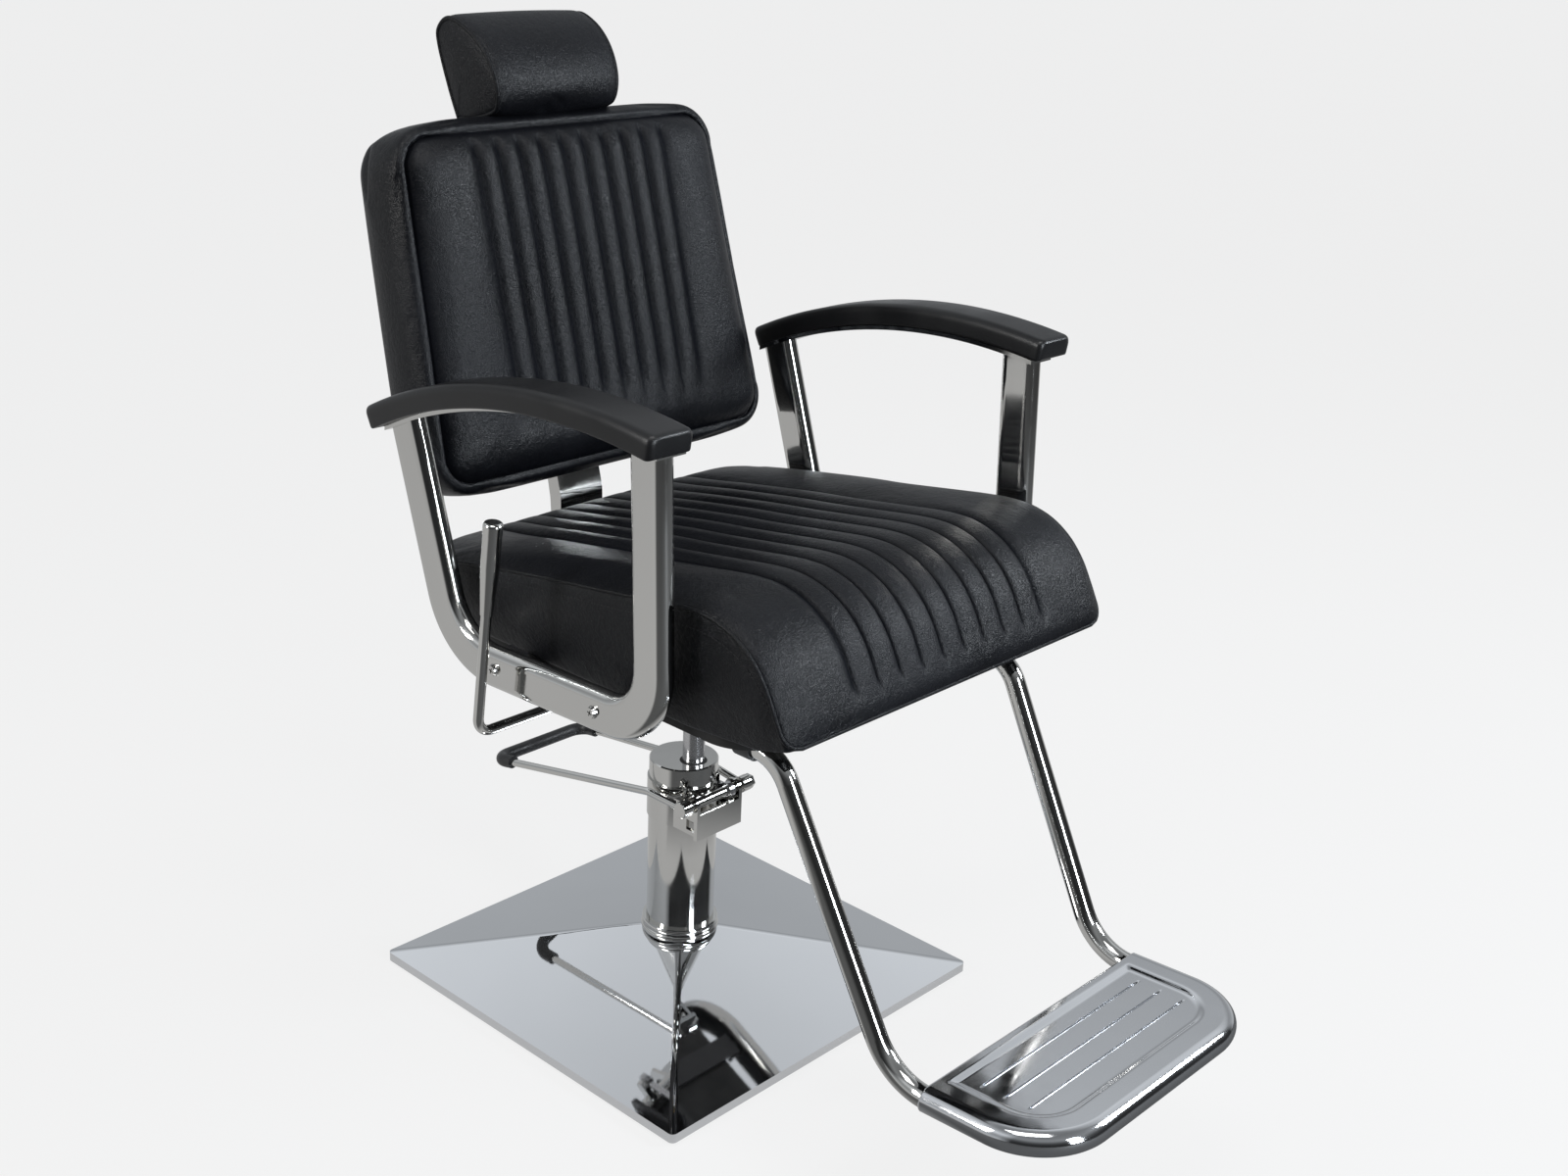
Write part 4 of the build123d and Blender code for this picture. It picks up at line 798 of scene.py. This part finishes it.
# ---------------------------------------------------------------- rear cover
# A moulded black panel closes the rear of the back over the board. It has rounded
# edges, a fine spark-eroded grain, and a notch at the foot where the bracket comes in.
notch_half, notch_up, cover_edge = 0.043, 0.112, 0.050
foot_half, foot_up = back_wide[0] - cover_edge - 0.004, 0.028
head_half, head_up = back_wide[1] - cover_edge + 0.004, back_tall - 0.040
corners = np.array([
    (-foot_half, foot_up), (-head_half, head_up), (head_half, head_up), (foot_half, foot_up),
    (notch_half, foot_up), (notch_half, notch_up), (-notch_half, notch_up), (-notch_half, foot_up),
])


def rounded_outline(corners, radii, steps=7):
    """Closed outline with every corner rounded: a quadratic curve from one radius before
    the corner to one radius after it, with the corner as its middle control point."""
    ahead = np.roll(corners, -1, 0) - corners
    ahead /= np.linalg.norm(ahead, axis=1, keepdims=True)
    radii = np.asarray(radii, float)[:, None]
    enter, leave = corners - np.roll(ahead, 1, 0) * radii, corners + ahead * radii
    t = np.linspace(0, 1, steps)[None, :, None]
    curve = (1 - t) ** 2 * enter[:, None] + 2 * t * (1 - t) * corners[:, None]
    curve = curve + t**2 * leave[:, None]
    return curve.reshape(-1, 2)


def tube_faces(rows, count):
    """Faces of rows of points round an outline, with a flat face at each end."""
    last = (rows - 1) * count
    faces = grid_quads(rows, count, 0, False, True).tolist()
    return faces + [list(range(count)), list(range(last, last + count))[::-1]]


outline = rounded_outline(corners, (0.04, 0.045, 0.045, 0.04, 0.010, 0.012, 0.012, 0.010))
step = np.roll(outline, -1, 0) - np.roll(outline, 1, 0)
inward = np.column_stack([step[:, 1], -step[:, 0]]) / np.hypot(step[:, 0], step[:, 1])[:, None]
turn = np.linspace(0, np.pi / 2, 7)
cover_in = np.concatenate([[0.004, 0.0], 0.004 * (1 - np.cos(turn)), [0.0075]])
cover_depth = np.concatenate([[0.0815, 0.0815], 0.0945 + 0.004 * np.sin(turn), [0.0988]])
cover_rings = outline[None] + inward[None] * cover_in[:, None, None]
cover_points = on_back(cover_rings[..., 0], cover_rings[..., 1], cover_depth[:, None])
cover_faces = tube_faces(len(cover_in), len(outline))
moulded_black, tree, shader = finish_named("moulded_black", (0.016, 0.016, 0.017), 0.5)
tint(tree, shader, noise(tree, 20, 3), (0.012, 0.012, 0.013), (0.022, 0.022, 0.023))
relief(tree, shader, (noise(tree, 1100, 3), 0.0004, 0.45), (noise(tree, 9, 2), 0.001, 0.05))
rear_cover = piece_from("rear_cover", cover_points, cover_faces, moulded_black)


def tidy_shell(piece):
    """Merges doubled points, turns the faces outwards and cuts the big end faces up."""
    shell = bmesh.new()
    shell.from_mesh(piece.data)
    bmesh.ops.remove_doubles(shell, verts=shell.verts, dist=1e-5)
    bmesh.ops.triangulate(shell, faces=[f for f in shell.faces if len(f.verts) > 8])
    bmesh.ops.recalc_face_normals(shell, faces=shell.faces)
    shell.to_mesh(piece.data)
    shell.free()


tidy_shell(rear_cover)
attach(rear_cover, "back")
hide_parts("back_cover")

dress(tube_chrome, "back_bracket")

# ---------------------------------------------------------------- headrest
# A D-shaped pad on its own bar: one main panel wraps from the rear over the top to the
# front, with a flat end panel sewn in at each side and a twin row of topstitching.
# The loop's points are (depth behind the back's seam, height along the back).
pad_loop = np.array([
    (0.080, 0.430), (0.0832, 0.470), (0.0832, 0.520), (0.075, 0.541), (0.050, 0.549),
    (0.022, 0.532), (0.002, 0.508), (-0.009, 0.481), (-0.011, 0.455), (-0.003, 0.434),
    (0.012, 0.426), (0.050, 0.425),
])
loop = smooth_line(np.vstack([pad_loop, pad_loop[:1]]), 121)[:-1]
loop_middle = np.array([0.042, 0.486])
loop_step = np.roll(loop, -1, 0) - np.roll(loop, 1, 0)
loop_out = np.column_stack([loop_step[:, 1], -loop_step[:, 0]])
loop_out /= np.linalg.norm(loop_out, axis=1, keepdims=True)
loop_out *= np.sign(np.sum(loop_out * (loop - loop_middle)))
pad_half = np.interp(loop[:, 1], (0.425, 0.549), (0.091, 0.101))
across = np.sin(np.linspace(-1, 1, 61) * np.pi / 2)
swell = 0.0035 * rolled(1 - np.abs(across), 0.16) + 0.002 * (1 - across**2)
main_ring = loop[None] + loop_out[None] * (swell[:, None, None] - 0.0035)
main_x = across[:, None] * pad_half[None]
head_main = on_back(main_x, main_ring[..., 1], main_ring[..., 0])
main_held = np.zeros(main_x.shape)
main_held[0], main_held[-1] = 1, 1


def closed_round(grid, held):
    """Repeats the first column at the end, so that the grid closes on itself."""
    return np.concatenate([grid, grid[:, :1]], 1), np.concatenate([held, held[:, :1]], 1)


head_patches = [(*closed_round(head_main, main_held), 0)]
shrinking = 1 - np.linspace(0, 1, 14) ** 1.2
for side, end in ((-1, 0), (1, -1)):
    flat = loop_middle + (main_ring[end] - loop_middle)[None] * shrinking[:, None, None]
    bulge = 0.004 * rolled(1 - shrinking, 0.5)
    reach = pad_half[None] * shrinking[:, None] + 0.096 * (1 - shrinking[:, None])
    flat_x = side * (reach + bulge[:, None])
    end_held = np.zeros(flat_x.shape)
    end_held[0] = 1
    end_panel = on_back(flat_x, flat[..., 1], flat[..., 0])
    head_patches.append((*closed_round(end_panel, end_held), 0))
headrest_pad = sewn("headrest_upholstery", head_patches, black_leather)
plump(headrest_pad, 0.004)
padded_piece(headrest_pad, "headrest", "black_leather", 0.8, "headrest_pad")

head_lines = []
head_middle = on_back(0.0, loop_middle[1], loop_middle[0])
shown = slice(14, 104)
loop_up = loop_out[shown, 1:] * up_back + loop_out[shown, :1] * behind
for name, ring, row in (("right", 0, 4), ("left", -1, -5)):
    welt = cord_of(f"headrest_welt_{name}", head_main[ring], 0.0027, head_middle, welt_leather)
    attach(welt, "headrest")
    head_lines.append((head_main[row, shown], loop_up))
headrest_stitching = stitches("headrest_stitching", head_lines, thread_black)
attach(headrest_stitching, "headrest")

# ---------------------------------------------------------------- arms
# Flat-oval tube loops, chromed, with a thin twin strip under each pad. The pads are
# soft-touch mouldings with a flat top, eased edges and near-upright sides.
dress(tube_chrome, "arm_frame_left", "arm_frame_right", "arm_screws", "arm_strip_left",
      "arm_strip_right")
soft_touch, tree, shader = finish_named(
    "soft_touch", (0.006, 0.006, 0.0068), 0.33, specular_ior_level=0.34,
)
tint(tree, shader, noise(tree, 9, 4), (0.0042, 0.0043, 0.0048), (0.0085, 0.0086, 0.0094))
tree.links.new(spread(tree, noise(tree, 16, 4), 0.28, 0.42), shader.inputs["Roughness"])
relief(tree, shader, (noise(tree, 1500, 3), 0.0003, 0.3), (noise(tree, 14, 3), 0.001, 0.06))
pad_x, crest_y, crest_z, arc_radius = 0.3145, -0.170, 0.870, 0.780
pad_deep, pad_front, pad_rear = 0.026, -0.292, 0.190
pad_wide, end_round = 0.0305, 0.008
pad_y = np.concatenate([
    pad_front + end_round * (1 - np.cos(np.linspace(0, np.pi / 2, 7))),
    np.linspace(pad_front + end_round, pad_rear - end_round, 80)[1:-1],
    pad_rear - end_round * (1 - np.cos(np.linspace(np.pi / 2, 0, 7))),
])
to_end = np.minimum(pad_y - pad_front, pad_rear - pad_y)
cut = end_round * (1 - rolled(to_end, end_round))
half_across = np.interp(pad_y, (-0.140, pad_rear), (pad_wide, 0.021)) - cut
centre_radius = arc_radius - pad_deep / 2
pad_size = np.array([pad_wide, pad_deep / 2])
section = rounded_outline(
    np.array([(-1.0, -1.0), (-1.0, 1.0), (1.0, 1.0), (1.0, -1.0)]) * pad_size,
    (0.0035, 0.0105, 0.0105, 0.0035), 9,
)
shape = section / pad_size
half_deep = pad_deep / 2 - 0.6 * cut
angle = np.arcsin((pad_y - crest_y) / arc_radius)
radius = centre_radius + shape[None, :, 1] * half_deep[:, None]
radius = radius + 0.0016 * (1 - shape[None, :, 0] ** 2) * (shape[None, :, 1] > 0)
for side, name in ((-1, "right"), (1, "left")):
    grid = np.stack([
        side * pad_x + shape[None, :, 0] * half_across[:, None],
        crest_y + radius * np.sin(angle)[:, None],
        crest_z - arc_radius + radius * np.cos(angle)[:, None],
    ], -1)
    faces = tube_faces(len(pad_y), len(shape))
    arm_pad = piece_from(f"arm_moulding_{name}", grid, faces, soft_touch)
    tidy_shell(arm_pad)
    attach(arm_pad, "seat")
    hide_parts(f"arm_pad_{name}")

# ---------------------------------------------------------------- release lever
# A chromed rod with a turned taper grip and a domed cap; it runs under the seat.
dress(tube_chrome, "release_lever", "lever_grip", "lever_cap")

# ---------------------------------------------------------------- footrest
# One chromed tube bent into a U. A pressed tread is rolled over its front; a raised
# border frames long flat ribs with narrow pressed grooves between them.
dress(tube_chrome, "footrest_tube")
foot_half_wide, foot_corner_y, foot_front = 0.189, -0.515, -0.722
foot_z, foot_rise, foot_bend, roll_radius = 0.177, math.radians(3.0), 0.078, 0.0151
# beside: slots of points across a groove, so that its walls are steep and its floor flat
tread_rear = foot_corner_y - 0.048
groove_y = np.array([-0.6015, -0.6315, -0.6615])
beside = np.array([-0.0026, -0.0015, -0.0011, 0, 0.0011, 0.0015, 0.0026])
tread_y = np.sort(np.concatenate([
    np.linspace(tread_rear, foot_front + foot_bend, 46)[:-1],
    foot_front + foot_bend * (1 - np.sin(np.linspace(0, np.pi / 2, 56))),
    (groove_y[:, None] + beside).reshape(-1),
]))[::-1]
bend = np.arcsin(np.clip(1 - (tread_y - foot_front) / foot_bend, 0, 1))
tread_half = foot_half_wide - foot_bend * (1 - np.cos(bend))
core_half = 0.080
core = np.linspace(-core_half, core_half, 50)
reach = np.linspace(0, 1, 40)[1:]
outer = core_half + (tread_half[:, None] - core_half) * reach
tread_x = np.hstack([-outer[:, ::-1], np.broadcast_to(core, (len(tread_y), len(core))), outer])
depth_front = np.maximum(tread_y - foot_front, 0)[:, None]
corner_x = np.maximum(np.abs(tread_x) - (foot_half_wide - foot_bend), 0)
corner_y = np.maximum(foot_front + foot_bend - tread_y, 0)[:, None]
inset = np.where(
    corner_y > 0, foot_bend - np.hypot(corner_x, corner_y), foot_half_wide - np.abs(tread_x),
)
inset = np.minimum(inset, depth_front + 0 * tread_x)
inset_rear = np.minimum(inset, (tread_rear - tread_y)[:, None] + 0.012)
pressed = 0.0032 * eased(inset_rear, 0.021, 0.030)
for y in groove_y:
    lane = 1 - eased(np.abs(tread_y - y), 0.0011, 0.0015)
    pressed = pressed + 0.0026 * lane[:, None] * eased(0.146 - np.abs(tread_x), 0, 0.006)
height = roll_radius - pressed
slope = math.tan(foot_rise)
tread = np.stack([
    tread_x, np.broadcast_to(tread_y[:, None], tread_x.shape),
    foot_z + (foot_corner_y - tread_y)[:, None] * slope + height,
], -1)
rim_x = np.concatenate([-tread_half, tread_x[-1, 1:-1], tread_half[::-1]])
rim_y = np.concatenate([tread_y, np.full(tread_x.shape[1] - 2, foot_front), tread_y[::-1]])
step_x, step_y = np.gradient(rim_x), np.gradient(rim_y)
rim_out = np.column_stack([step_y, -step_x]) / np.hypot(step_x, step_y)[:, None]
turn = np.linspace(np.pi / 2, -np.pi * 0.42, 20)
rim = np.stack([
    rim_x[None] + roll_radius * np.cos(turn)[:, None] * rim_out[None, :, 0],
    rim_y[None] + roll_radius * np.cos(turn)[:, None] * rim_out[None, :, 1],
    (foot_z + (foot_corner_y - rim_y) * slope)[None] + roll_radius * np.sin(turn)[:, None],
], -1)
tread_chrome = chrome_finish("tread_chrome", (0.72, 0.73, 0.75), ripple=10, haze=0.07)
footplate = sewn("tread_plate", [(tread, 1, 0), (rim, 1, 0)], tread_chrome)
footplate.data.set_sharp_from_angle(angle=math.radians(35))
sheet_metal = footplate.modifiers.new("sheet", "SOLIDIFY")
sheet_metal.thickness = 0.0018
sheet_metal.offset = -1
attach(footplate, "seat")
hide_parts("footplate")

# ---------------------------------------------------------------- return spring
# Six turns of plain spring wire stand round the pump plunger, between the barrel and the
# plunger's head. On the chair it closes up as the pedal presses the plunger down; the coil here is
# drawn at rest.
spring_low, spring_high = (np.array(corner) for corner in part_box("plunger_spring"))
spring_turns, wire = 6, 0.00055
spring_middle = (spring_low + spring_high) / 2
spring_radius = (spring_high[0] - spring_low[0]) / 2 - wire
turn = np.linspace(0, 2 * np.pi * spring_turns, 24 * spring_turns + 1)
coil = np.column_stack([
    spring_middle[0] + spring_radius * np.cos(turn), spring_middle[1] + spring_radius * np.sin(turn),
    np.linspace(spring_low[2] + wire, spring_high[2] - wire, len(turn)),
])
return_spring = cord_of("return_spring", coil, wire, spring_middle, turned_steel, closed=False, sides=8)
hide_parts("plunger_spring")
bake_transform(return_spring)
